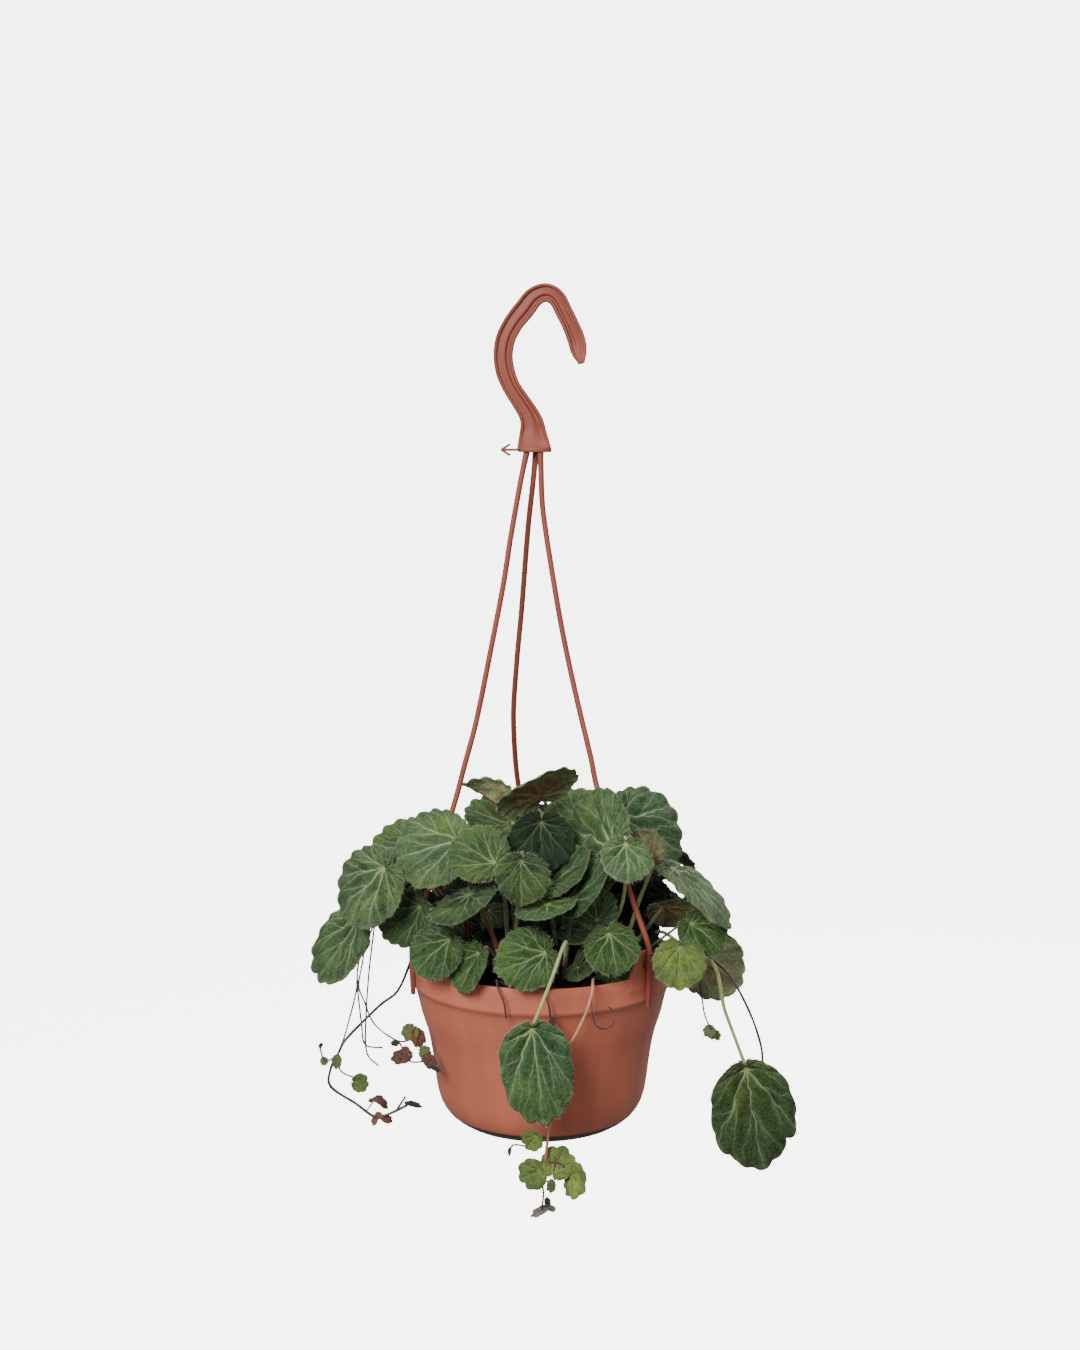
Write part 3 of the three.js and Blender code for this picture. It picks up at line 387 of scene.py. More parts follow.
ARM_LINES = [
    [
        (-2.6, -2.7, -80), (-2.2, -3.2, -92), (-1.2, -4.2, -113), (3.5, -7.5, -144.7), (9.8, -12.6, -180.7),
        (17.4, -19, -215.8), (25, -25.6, -247.2), (29.4, -29, -267), (44.6, -39.4, -315), (55.1, -48, -344),
        (57.3, -49.8, -353),
    ],
    [
        (-9.8, -1.4, -80), (-12.4, -2.2, -92), (-14.7, -3, -104), (-19.2, -4.8, -129.3), (-23, -6.4, -153.6),
        (-29.5, -9, -187.2), (-38, -12, -228.9), (-45, -14.6, -255.2), (-50.3, -16.6, -275),
        (-63.3, -22.3, -318), (-72.1, -25.5, -344), (-74.7, -26.5, -353),
    ],
    [
        (-5, 4.2, -80), (-6.6, 6, -97.6), (-9.6, 11, -125.5), (-13.2, 20, -170.4), (-16.2, 27.6, -202.8),
        (-18.2, 37, -240), (-14.6, 52, -285), (-3, 66.4, -322), (7.6, 73.9, -344), (11.4, 76.2, -353),
    ],
]
TAIL_WIDTH = 4.4
TAIL_THICK = 2.4
TAIL_TOP = 13
TAIL_BOTTOM = -18
TAIL_OFF = 0.9


def route(points, steps):
    """Places at even steps along a smooth curve through the points."""
    given = np.asarray(points, float)
    ends = [2 * given[0] - given[1], *given, 2 * given[-1] - given[-2]]
    padded = np.array(ends)
    place = np.linspace(0, len(given) - 1, steps + 1)
    span = np.minimum(place.astype(int), len(given) - 2)
    w = (place - span)[:, None]
    a, b, c, d = (padded[span + k] for k in range(4))
    leave, arrive = (c - a) / 2, (d - b) / 2
    cubic = 2 * b - 2 * c + leave + arrive
    square = 3 * c - 3 * b - 2 * leave - arrive
    return cubic * w**3 + square * w**2 + leave * w + b


def swelling(off, width):
    """A bell-shaped rise, 1 where it is off by nothing."""
    return np.exp(-((off / width) ** 2))


def mesh_piece(name, places, faces):
    data = bpy.data.meshes.new(name)
    data.from_pydata(np.asarray(places, float) * MM, [], faces)
    data.update()
    piece = bpy.data.objects.new(name, data)
    bpy.context.scene.collection.objects.link(piece)
    return piece


def ring_faces(rings, sides, closed_ends=True):
    """Faces of a tube of rings with the same number of sides, with a face at each end."""
    faces = []
    for i in range(rings - 1):
        for k in range(sides):
            a = i * sides + k
            b = i * sides + (k + 1) % sides
            faces.append((a, b, b + sides, a + sides))
    if closed_ends:
        faces.append(tuple(range(sides))[::-1])
        faces.append(tuple(range((rings - 1) * sides, rings * sides)))
    return faces


def tube_places(line, radii, sides):
    """Rings round a line, carried along it without twist."""
    ahead = np.gradient(line, axis=0)
    ahead /= np.linalg.norm(ahead, axis=1)[:, None]
    side = np.array([0, 0, 1.0]) if abs(ahead[0][2]) < 0.9 else np.array([1.0, 0, 0])
    turn = np.linspace(0, 2 * math.pi, sides, endpoint=False)
    places = []
    for middle, forward, radius in zip(line, ahead, np.broadcast_to(radii, len(line))):
        side = side - forward * side.dot(forward)
        side = side / np.linalg.norm(side)
        other = np.cross(forward, side)
        places.append(middle + radius * (np.outer(np.cos(turn), side) + np.outer(np.sin(turn), other)))
    return np.concatenate(places)


hook_line = route(HOOK_LINE, HOOK_STEPS * (len(HOOK_LINE) - 1))
hook_ahead = np.gradient(hook_line[:, :2], axis=0)
hook_ahead /= np.linalg.norm(hook_ahead, axis=1)[:, None]
hook_places = []
for step, ((x, z, half), (dx, dz)) in enumerate(zip(hook_line, hook_ahead)):
    station = step / HOOK_STEPS
    open_share = min(1, max(0, (station - 0.15) / 1.2), max(0, (18.6 - station) / 1.6))
    edge = min(0.7, half * 0.3)
    deep = (HOOK_DEPTH - HOOK_WEB) / 2 * open_share
    lip = max(half - FLANGE, 0.2)
    front = HOOK_DEPTH / 2
    face = [
        (-half, front - edge), (-half + edge, front), (-lip - 0.3, front), (-lip, front - 0.3 * deep),
        (-lip + 0.35, front - deep), (-0.55 * lip, front - deep), (-0.25 * lip, front - 0.45 * deep),
        (0.2 * lip, front - 0.4 * deep), (0.6 * lip, front - 0.75 * deep), (lip - 0.2, front - 0.7 * deep),
        (lip + 0.2, front - 0.1 * deep), (half - edge, front), (half, front - edge),
    ]
    section = face + [(across, -depth) for across, depth in reversed(face)]
    for across, depth in section:
        hook_places.append((x - dz * across, depth, z + dx * across))
hook = mesh_piece("hook", hook_places, ring_faces(len(hook_line), len(section)))
hanger_parts = [hook]

bpy.ops.object.select_all(action="DESELECT")
bpy.ops.mesh.primitive_cylinder_add(
    vertices=48,
    radius=COLLAR_RADIUS * MM,
    depth=COLLAR_HEIGHT * MM,
    location=(COLLAR_X * MM, 0, (COLLAR_TOP - COLLAR_HEIGHT / 2) * MM),
)
collar = added("collar")
collar.scale = (1, COLLAR_FLATNESS, 1)
bpy.ops.object.transform_apply(location=True, scale=True)
collar_edge = collar.modifiers.new("edge", "BEVEL")
collar_edge.width = 0.6 * MM
collar_edge.segments = 3
bpy.ops.object.modifier_apply(modifier="edge")
hanger_parts.append(collar)

BARB_Z = COLLAR_TOP - COLLAR_HEIGHT / 2
label_stem = block("label_stem", (-24, -0.8, BARB_Z - 0.7), (-13.6, 0.8, BARB_Z + 0.7), bevel=0.3)
hanger_parts.append(label_stem)
for barb_side in (-1, 1):
    barb = block("barb", (-24.3, -0.8, BARB_Z - 0.65), (-18.4, 0.8, BARB_Z + 0.65), bevel=0.3)
    barb_turn = Matrix.Rotation(barb_side * math.radians(32), 4, "Y")
    barb_foot = Matrix.Translation(Vector((-24.2, 0, BARB_Z)) * MM)
    barb.data.transform(barb_foot @ barb_turn @ barb_foot.inverted())
    hanger_parts.append(barb)

for arm_line in ARM_LINES:
    line = route(arm_line, ARM_STEPS)
    share = np.linspace(0, 1, len(line))
    radii = ARM_RADIUS * (1 + 0.15 * swelling(share, 0.05) + 0.1 * swelling(1 - share, 0.06))
    arm = mesh_piece("arm", tube_places(line, radii, ARM_SIDES), ring_faces(len(line), ARM_SIDES))
    hanger_parts.append(arm)
for ear_turn in EAR_TURNS:
    half = TAIL_WIDTH / 2
    tail = block(
        "tail", (-half, -TAIL_OFF - TAIL_THICK, TAIL_BOTTOM), (half, -TAIL_OFF, TAIL_TOP), bevel=0.7, cuts=3
    )
    for vertex in tail.data.vertices:
        down = max(-vertex.co.z / MM, 0) / -TAIL_BOTTOM
        vertex.co.x *= 1 - 0.5 * down
        vertex.co.y += 0.6 * MM * down**2
    stud = block("stud", (-2, -TAIL_OFF - 1, SLOT_UP - 1.4), (2, EAR_THICK + 2.6, SLOT_UP + 1.4), bevel=0.5)
    hanger_parts.append(around_pot(tail, ear_turn))
    hanger_parts.append(around_pot(stud, ear_turn))
hanger = join_pieces("hanger_body", hanger_parts)
bpy.ops.object.shade_smooth_by_angle(angle=math.radians(40))
hanger.data.materials.clear()
hanger.data.materials.append(
    moulded_plastic("hanger_plastic", linear(122, 58, 44), linear(136, 72, 57), 0.5, -0.5)
)
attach(hanger, "root")
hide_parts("hanger")

# Soil: dark damp potting soil that fills the pot to a little below the rim, rough on top, with loose crumbs,
# bits of bark and a few pale grains lying on it.
SOIL_DROP = 12
SOIL_Z = RIM_Z - SOIL_DROP
SOIL_ROUGH = 1.3
SOIL_MOUND = 1.2
SOIL_EDGE = 6
LUMP_SCALE = 0.16
SOIL_RINGS = 34
SOIL_TOP_RADIUS = 71.6
soil_top = [(SOIL_TOP_RADIUS * (1 - k / SOIL_RINGS), -SOIL_DROP) for k in range(1, SOIL_RINGS)]
soil_side = [
    (54.3, -86.6), (58, -75.6), (60.6, -56.6), (63.8, -43), (67.6, -28.6), (70.4, -16.4),
    (SOIL_TOP_RADIUS, -SOIL_DROP - 1),
]
soil = draw_down("soil_body", [(44, -92.6), *soil_side, *soil_top], 120, POT_X, RIM_Z)
with shaping():
    bpy.ops.mesh.select_all(action="DESELECT")
    bpy.ops.mesh.select_mode(type="EDGE")
    bpy.ops.mesh.select_non_manifold()
    bpy.ops.mesh.edge_face_add()
    bpy.ops.mesh.select_all(action="SELECT")
    bpy.ops.mesh.normals_make_consistent(inside=False)


def soil_height(x, y, off, level=0.0):
    """How high the soil's top lies over its rim: lumps that flatten by a level's share, and a low mound."""
    lump = noise.fractal(Vector((x, y, 0)) * LUMP_SCALE, 1.0, 2.0, 4)
    return SOIL_ROUGH * lump * (1 - level) + SOIL_MOUND * (1 - (off / SOIL_TOP_RADIUS) ** 2)


for vertex in soil.data.vertices:
    x, y, z = vertex.co / MM
    if z < SOIL_Z - 0.9:
        continue
    off = math.hypot(x - POT_X, y)
    vertex.co.z += soil_height(x, y, off, max(0, 1 - (SOIL_TOP_RADIUS - off) / SOIL_EDGE)) * MM
bpy.ops.object.shade_smooth()

CRUMBS = 900
CRUMB_SPREAD = 69
draw = np.random.default_rng(11)
bpy.ops.object.select_all(action="DESELECT")
bpy.ops.mesh.primitive_ico_sphere_add(subdivisions=1, radius=1)
crumb_form = added("crumb")
crumb_corners = np.array([v.co for v in crumb_form.data.vertices])
crumb_faces = [tuple(f.vertices) for f in crumb_form.data.polygons]
bpy.data.objects.remove(crumb_form)
crumb_places, crumb_all = [], []
for crumb in range(CRUMBS):
    radius = CRUMB_SPREAD * math.sqrt(draw.random())
    turn = draw.uniform(0, 2 * math.pi)
    size = draw.uniform(0.4, 1.3)
    shape = crumb_corners * draw.uniform(0.6, 1.3, 3) * size
    shape += draw.normal(0, 0.12, crumb_corners.shape) * size
    x, y = POT_X + radius * math.cos(turn), radius * math.sin(turn)
    height = SOIL_Z + soil_height(x, y, radius) + 0.3 * size
    crumb_all += [tuple(c + len(crumb_corners) * crumb for c in face) for face in crumb_faces]
    crumb_places.append(shape + (x, y, height))
crumbs = mesh_piece("soil_crumbs", np.concatenate(crumb_places), crumb_all)
soil_look, soil_tree, soil_surface = new_material("potting_soil", Roughness=0.95)
soil_grain = cloudy(soil_tree, object_place(soil_tree), 330, 6)
soil_stops = ((0.35, linear(17, 14, 12)), (0.75, linear(58, 44, 34)), (0.8, linear(96, 80, 62)))
feed(soil_tree, soil_surface, {
    "Base Color": shades(soil_tree, soil_grain, *soil_stops),
    "Normal": bumped(soil_tree, soil_grain, 0.8, 0.001),
})
soil = join_pieces("soil_body", [soil, crumbs])
soil.data.materials.clear()
soil.data.materials.append(soil_look)
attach(soil, "root")
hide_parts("soil")

# Leaves: each grows on its own stalk from a crown in the soil. The blade is round, notched where the stalk
# comes in, with shallow round teeth, silvery forked veins, fine bristles and a red-brown underside.
BLADE = 1
FORMS = {
    "flat": dict(root=0.62, width=1.04, cup=0.05, droop=0.1, fold=0.04, wave=0.03, along=0.4),
    "arched": dict(root=0.62, width=1.06, cup=-0.16, droop=0.12, fold=0, wave=0.035, along=0.4),
    "cupped": dict(root=0.62, width=1.04, cup=0.26, droop=0, fold=0.05, wave=0.03, along=0.35),
    "folded": dict(root=0.66, width=1, cup=0.05, droop=0.12, fold=0.34, wave=0.02, along=0.5),
    "draped": dict(root=0.62, width=0.96, cup=-0.12, droop=0.3, fold=0.06, wave=0.04, along=0.5),
    "wide": dict(root=0.6, width=1.2, cup=-0.12, droop=0.06, fold=0, wave=0.03, along=0.3),
    "long": dict(root=0.86, width=0.68, cup=0.02, droop=0.06, fold=0.1, wave=0.02, along=0.85, shoulder=0.25),
    "hanging": dict(root=0.86, width=0.82, cup=-0.03, droop=0.05, fold=0.05, wave=0.02, along=0.92),
}
# A tone is the upper side's colour and how much its veins stand out. The shade tone is painted shade: a
# near-black green for blades deep in the foliage's shadow.
TONES = {
    "grey": (linear(50, 72, 42), 0.7),
    "mid": (linear(40, 62, 31), 0.54),
    "dark": (linear(32, 53, 28), 0.42),
    "shade": (linear(12, 27, 14), 0.16),
    "fresh": (linear(40, 66, 26), 0.6),
    "lime": (linear(76, 92, 42), 0.6),
    "blue": (linear(36, 64, 36), 0.62),
    "deep": (linear(36, 56, 26), 0.5),
}
# Where the stalk meets the blade, the way the tip points, the way the upper side faces, length, form and
# tone, and the points that a stalk goes over where it doesn't rise straight from the soil.
LEAVES = [
    [(-88, -42, -307), (-0.85, -0.25, -0.45), (-0.35, -0.8, 0.5), 45, "arched", "grey"],
    [
        (-105, -22, -341), (-0.66, -0.1, -0.75), (-0.5, -0.8, 0.25), 47, "long", "grey",
        [(-60, -12, -330), (-86, -17, -317)],
    ],
    [(-48, -45, -290), (-0.95, -0.2, 0), (-0.15, -0.75, 0.65), 46, "arched", "grey"],
    [(-70, -4, -304), (-0.9, 0.1, 0.1), (-0.2, -0.6, 0.75), 42, "flat", "mid"],
    [(-69, -35, -330), (-0.75, 0, -0.65), (-0.3, -0.75, 0.5), 33, "flat", "dark"],
    [(-52, -56, -343), (-0.75, -0.35, -0.5), (-0.25, -0.8, 0.55), 31, "flat", "mid"],
    [(-41, -54, -318), (-0.2, -0.9, -0.35), (-0.42, -0.32, 0.85), 38, "cupped", "dark"],
    [(-36, -63, -348), (-0.6, -0.3, -0.8), (-0.6, -0.6, 0.5), 29, "folded", "fresh"],
    [(-27, -60, -299), (-0.75, -0.15, 0.6), (-0.1, -0.85, 0.5), 33, "flat", "mid"],
    [(-12, -58, -299), (-0.05, -0.5, -0.85), (0.1, -0.8, 0.55), 30, "folded", "dark"],
    [(0, -73, -345), (-0.85, -0.2, -0.3), (-0.05, -0.85, 0.5), 34, "flat", "fresh"],
    [(-9, -65, -352), (-0.9, -0.1, -0.3), (-0.1, -0.8, 0.5), 24, "flat", "grey"],
    [(3, -50, -315), (0.6, -0.3, 0.7), (-0.55, -0.5, 0.65), 35, "cupped", "dark"],
    [(12, -62, -318), (0.6, -0.3, 0.7), (-0.55, -0.5, 0.65), 36, "cupped", "dark"],
    [(1, -62, -321), (0, -0.95, -0.2), (0, -0.24, 0.97), 32, "cupped", "mid"],
    [(18, -62, -360), (0, -0.6, -0.4), (0, -0.6, 0.8), 15, "flat", "dark"],
    [
        (-7, -95, -380), (0.12, -0.1, -0.99), (0, -0.97, 0.2), 55, "long", "blue",
        [(11, -78, -338), (2, -91, -358)],
    ],
    [(-22, 8, -284), (-0.75, 0, 0.65), (0.5, 0.5, 0.7), 36, "folded", "grey"],
    [(-3, -2, -275), (-0.2, -0.75, 0.6), (-0.36, 0.66, 0.66), 47, "arched", "grey"],
    [(-1, -34, -284), (0, -0.3, -0.95), (0, -0.9, 0.4), 35, "flat", "shade"],
    [(19, 0, -298), (-0.2, 0.2, 0.9), (-0.1, -0.85, 0.5), 36, "flat", "grey"],
    [(40, -47, -293), (-0.65, 0.7, 0.1), (-0.72, -0.62, 0.3), 48, "wide", "grey"],
    [(42, -18, -285), (0.9, -0.1, -0.1), (0.3, -0.75, 0.6), 54, "arched", "blue"],
    [(43, -62, -289), (0, -0.5, -0.85), (0.1, -0.8, 0.6), 28, "flat", "grey", [(41, -44, -330)]],
    [(57, -54, -299), (-0.35, 0.1, 0.9), (0.6, 0.75, 0.3), 23, "folded", "dark", [(50, -33, -334)]],
    [(61, 20, -305), (0.85, 0.3, -0.3), (0.2, 0.2, 0.95), 38, "draped", "dark"],
    [(69, -34, -309), (0.88, -0.1, -0.42), (0.42, -0.05, 0.9), 54, "draped", "grey"],
    [(66, -34, -330), (0.2, -0.5, -0.9), (0.1, 0.6, 0.6), 30, "flat", "dark"],
    [(73, -53, -348), (0, -0.5, -0.85), (0.15, -0.85, 0.5), 29, "flat", "lime"],
    [(80, -38, -338), (0.7, -0.2, -0.6), (0.2, -0.7, 0.7), 28, "flat", "fresh"],
    [
        (78, -14, -364), (0.76, -0.1, -0.64), (-0.4, 0.8, -0.2), 42, "arched", "dark",
        [(62, -10, -352), (76, -12, -357)],
    ],
    [
        (112, -40, -421), (0.17, -0.15, -0.97), (0.1, -0.95, 0.2), 61, "hanging", "deep",
        [(88, -42, -357), (100, -41, -389)],
    ],
    [(34, -65, -337), (0.2, -0.3, -0.9), (0, -0.85, 0.5), 29, "flat", "fresh"],
    [(30, -56, -333), (0, -0.4, 0.6), (0, -0.7, 0.7), 23, "cupped", "mid"],
    [(-58, 30, -310), (-0.7, 0.5, -0.5), (-0.4, 0.4, 0.8), 46, "arched", "grey"],
    [(-30, 45, -309), (-0.3, 0.8, -0.5), (-0.2, 0.6, 0.75), 46, "flat", "mid"],
    [(5, 48, -307), (0, 0.85, -0.5), (0, 0.65, 0.75), 48, "arched", "grey"],
    [(38, 42, -303), (0.4, 0.75, -0.5), (0.3, 0.55, 0.75), 44, "flat", "blue"],
    [(-18, 24, -296), (-0.9, 0.3, 0.1), (-0.05, -0.4, 0.9), 36, "cupped", "mid"],
    [(24, 22, -284), (0.6, 0.7, 0), (0.1, 0.3, 0.95), 42, "flat", "grey"],
    [(-78, 34, -338), (-0.7, 0.4, -0.6), (-0.5, 0.5, 0.7), 40, "flat", "mid"],
    [(-46, 66, -338), (-0.4, 0.7, -0.6), (-0.3, 0.75, 0.6), 42, "arched", "dark"],
    [(-10, 80, -342), (0, 0.7, -0.7), (0, 0.85, 0.5), 40, "flat", "fresh"],
    [(32, 74, -340), (0.3, 0.7, -0.6), (0.3, 0.75, 0.6), 42, "arched", "mid"],
    [(64, 52, -342), (0.6, 0.5, -0.6), (0.5, 0.55, 0.65), 40, "flat", "grey"],
    [(88, 18, -344), (0.8, 0.1, -0.6), (0.6, 0.1, 0.8), 40, "arched", "dark"],
]
CROWNS = np.array([
    (-42, -20, SOIL_Z), (-18, -42, SOIL_Z), (10, -42, SOIL_Z), (38, -26, SOIL_Z),
    (36, 22, SOIL_Z), (2, 38, SOIL_Z), (-34, 26, SOIL_Z), (0, -4, SOIL_Z),
], float)
# Runners: the threads that creep out of the soil on each side, as radius, steps between points and points.
RUNNERS = {
    "left": [
        (0.8, 1, [
            (-54, -8, SOIL_Z - 3), (-55, -8, -372), (-60, 22, -368), (-66, 37, -362.5), (-69, 39.5, -361.5),
            (-76, 36, -368), (-79, 26, -380), (-85, 6, -391), (-94, -4, -396), (-105, -16, -404),
            (-113, -24, -411), (-117, -24, -419), (-121, -26, -427), (-121, -26, -437), (-107, -26, -447),
            (-96, -26, -455), (-88, -26, -453), (-78, -26, -448),
        ]),
        (0.5, 1, [
            (-55, -8, -372), (-66, 12, -353), (-84, 12, -344), (-97, -2, -348), (-103, -12, -358),
            (-106, -15, -372), (-107, -15, -385), (-113, -19, -408), (-117, -24, -419),
        ]),
        (0.5, 1, [
            (-97, -2, -348), (-101, -14, -357), (-103, -20, -368), (-105, -20, -380), (-102, -20, -389),
            (-96, -22, -402), (-82, -30, -409), (-72, -35, -405),
        ]),
        (0.5, 1, [
            (-97, -2, -348), (-100, -8, -374), (-102, -10, -400), (-102, -10, -422), (-95, -12, -430),
        ]),
        (0.5, 1, [(-106.6, -15, -379), (-104, -18, -402), (-102, -18, -415), (-92, -18, -417)]),
        (0.5, 1, [(-82, -30, -409), (-79, -34, -413), (-75, -38, -418), (-67, -41, -417)]),
        (0.5, 1, [(-117, -24, -419), (-124, -26, -422), (-127, -26, -413)]),
        (0.5, 1, [(-117, -24, -419), (-115, -26, -428), (-104, -26, -433)]),
        (0.6, 1, [(-84, -26, -451), (-79, -26, -443)]),
    ],
    "front": [
        (0.8, 2, [
            (26, -54, SOIL_Z - 3), (26, -57, -371), (26, -66, -363), (25.5, -72.5, -361.2),
            (25, -77.5, -366), (22, -79, -376), (16, -79.5, -389), (10, -80, -399), (5, -80, -419),
            (2, -79.5, -442), (0, -79, -460),
        ]),
        (0.5, 2, [
            (24.6, -78, -369), (25, -80, -376), (27, -80, -383), (31, -79, -385.5), (36, -77, -384),
            (37, -74, -379), (34, -73, -375),
        ]),
        (0.5, 1, [
            (26, -57, -371), (6, -58, -370), (-14, -60, -369), (-25, -66, -363.5), (-26, -71.5, -361.4),
            (-25, -76, -365), (-22, -77.5, -372), (-21, -77.5, -380),
        ]),
        (0.5, 1, [
            (6, -58, -370), (1, -68, -364), (-1, -75, -361.4), (0, -79, -366), (2, -80, -373),
            (3, -79.5, -381),
        ]),
        (0.5, 1, [(1, -79.5, -446), (-6, -80, -451), (-17, -80, -450), (-19, -80, -455)]),
        (0.5, 1, [(0, -79, -460), (8, -79, -461), (14, -79, -468)]),
        (0.5, 1, [(0, -79, -458), (-5, -79, -464), (-1, -79, -476), (-2, -79, -487)]),
    ],
    "right": [
        (0.7, 2, [
            (52, -12, SOIL_Z - 3), (53, -12, -371), (66, -17, -362), (75, -20, -360), (84, -25, -357.5),
            (92, -29, -361), (103, -30, -371), (114, -30, -391), (121, -30, -411), (122, -30, -424),
            (120, -27, -436),
        ]),
        (0.5, 2, [(82, -24, -358), (86, -34, -374), (89, -35, -392), (94, -35, -403)]),
    ],
    "back": [
        (0.7, 2, [
            (-14, 54, SOIL_Z - 3), (-14, 57, -370), (-15, 66, -363), (-16, 74.5, -361.4), (-18, 80, -367),
            (-22, 84, -385), (-26, 84, -405), (-24, 82, -428), (-16, 81, -446),
        ]),
        (0.6, 2, [
            (-14, 57, -370), (8, 56, -370), (26, 60, -366), (34, 67.5, -361.4), (38, 74, -367),
            (44, 78, -384), (46, 78, -404),
        ]),
    ],
}
NOTCH_DEPTH = 0.7
NOTCH_SPREAD = 0.3
CREASE = 0.02
WAVES = 3
PHASE_STEP = 1.7


def reach(length, root, angle):
    """How far a blade reaches from the stalk's end at an angle: a disc with a notch behind."""
    radius = length / 2
    offset = root * radius
    whole = offset * np.cos(angle) + np.sqrt(radius**2 - (offset * np.sin(angle)) ** 2)
    back = (math.pi - np.abs(angle)) / NOTCH_SPREAD
    return whole * (1 - NOTCH_DEPTH * np.exp(-back * back))


def rise(leaf, u, v):
    """How high a blade stands over its own flat plane, by its form."""
    form = leaf["form"]
    s, t = u / leaf["length"], v / leaf["length"]
    ripple = np.sin(WAVES * np.arctan2(v, u) + leaf["phase"])
    spread = (form["cup"] + form["wave"] * ripple) * (s * s + t * t)
    tip = np.where(s > 0, form["droop"] * s * s, 0)
    return leaf["length"] * (spread - tip + form["fold"] * (np.sqrt(t * t + CREASE**2) - CREASE))


def unit(vector):
    return vector / np.linalg.norm(vector)


def make_leaf(row, i, forms=FORMS):
    seat, out, face, length, form, tone = row[:6]
    F = unit(np.array(face, float))
    out = np.array(out, float)
    O = unit(out - F * F.dot(out))
    return {
        "at": np.array(seat, float),
        "O": O,
        "S": np.cross(F, O),
        "F": F,
        "length": length,
        "form": forms[form],
        "tone": tone,
        "over": row[6] if len(row) > 6 else [],
        "phase": PHASE_STEP * i,
        "number": i,
    }


def spot(leaf, u, v, h):
    """Places on a leaf, by the way along it, across it and above it."""
    flat = leaf["at"] + np.multiply.outer(u, leaf["O"]) + np.multiply.outer(v, leaf["S"])
    return flat + np.multiply.outer(h, leaf["F"])


# The leaves make room for each other, the rim, the arms and the runners, round by round, until no blade cuts
# another.
CLEAR = 2.6
NEAR = 16
ROUNDS = 80
PART = 0.45
BESIDE = 2
RIM_OUT, RIM_IN, RIM_UP, SOIL_ROOM, EAR_ROOM = 4, 6, 3, 4, 14
PROBE_RINGS = ((0.5, 6), (0.98, 12))
NEEDLE_STEPS = 60
NEEDLE_TOP = -250


def place_on(leaf, places):
    """How far places stand over a blade, and whether they are over or under it."""
    d = places - leaf["at"]
    u, v = d @ leaf["O"], d @ leaf["S"]
    across = v / leaf["form"]["width"]
    limit = reach(leaf["length"], leaf["form"]["root"], np.arctan2(across, u)) + BESIDE
    return d @ leaf["F"] - rise(leaf, u, v) + BLADE / 2, np.hypot(u, across) <= limit


def thread_line(thread, finer=1):
    _, steps, points = thread
    return route(points, finer * steps * (len(points) - 1))


def probe_spots(leaf):
    angles, radii = [np.zeros(1)], [np.zeros(1)]
    for share, count in PROBE_RINGS:
        ring = -math.pi + 2 * math.pi * (np.arange(count) + 0.5) / count
        angles.append(ring)
        radii.append(share * reach(leaf["length"], leaf["form"]["root"], ring))
    angle, r = np.concatenate(angles), np.concatenate(radii)
    u, v = r * np.cos(angle), r * np.sin(angle) * leaf["form"]["width"]
    return u, v, rise(leaf, u, v) - BLADE / 2


def settle(leaves, needles):
    """Moves and tilts the leaves bit by bit until they keep clear of each other and of all else."""
    probes = [probe_spots(leaf) for leaf in leaves]
    owner = np.concatenate([np.full(len(p[0]), a) for a, p in enumerate(probes)])
    owner = np.concatenate([owner, *[np.full(len(n), len(leaves) + a) for a, n in enumerate(needles)]])
    sets = len(leaves) + len(needles)
    room = np.where(owner < len(leaves), CLEAR, CLEAR + ARM_RADIUS)
    for _ in range(ROUNDS):
        places = np.concatenate([*[spot(leaf, *p) for leaf, p in zip(leaves, probes)], *needles])
        centres = np.array([leaf["at"] for leaf in leaves])
        shift = np.zeros((len(leaves), 3))
        turn = np.zeros((len(leaves), 3))
        arm = np.zeros(len(leaves))
        count = np.zeros(len(leaves))

        def push(which, spots, pushes):
            away = spots - centres[which]
            np.add.at(shift, which, pushes)
            np.add.at(turn, which, np.cross(away, pushes))
            np.add.at(arm, which, (away * away).sum(1))
            np.add.at(count, which, 1)

        for b, leaf in enumerate(leaves):
            gap, within = place_on(leaf, places)
            close = within & (np.abs(gap) < NEAR) & (owner != b)
            side = np.sign(np.bincount(owner[close], weights=gap[close], minlength=sets))
            side[side == 0] = 1
            lack = room - side[owner] * gap
            close &= lack > 0
            if not close.any():
                continue
            pushes = np.outer(side[owner[close]] * lack[close], leaf["F"])
            other = owner[close] < len(leaves)
            push(owner[close][other], places[close][other], pushes[other])
            push(np.full(close.sum(), b), places[close], -pushes)
        own = owner < len(leaves)
        x, y, z = places[own].T
        x = x - POT_X
        r = np.hypot(x, y)
        off = np.degrees(np.arctan2(x, -y))
        nearest = np.min([np.abs((off - ear + 540) % 360 - 180) for ear in EAR_TURNS], axis=0)
        rim = RIM_Z + RIM_UP + np.where(nearest < EAR_ROOM, EAR_HEIGHT, 0)
        up = np.where(r < RIM_RADIUS - RIM_IN, SOIL_Z + SOIL_ROOM - z, rim - z)
        outward = RIM_RADIUS + RIM_OUT - r
        low = (outward >= 0) & (z <= rim) & (up > 0)
        lift = np.stack([0 * x, 0 * x, up], axis=1)
        aside = np.stack([x / r * outward, y / r * outward, 0 * x], axis=1)
        pushes = np.where((up < outward)[:, None], lift, aside)
        push(owner[own][low], places[own][low], pushes[low])
        for a, leaf in enumerate(leaves):
            if not count[a]:
                continue
            leaf["at"] = leaf["at"] + shift[a] * PART / count[a]
            swing = turn[a] * PART / max(arm[a], 1)
            leaf["F"] = unit(leaf["F"] + np.cross(swing, leaf["F"]))
            O = leaf["O"] + np.cross(swing, leaf["O"])
            leaf["O"] = unit(O - leaf["F"] * leaf["F"].dot(O))
            leaf["S"] = np.cross(leaf["F"], leaf["O"])


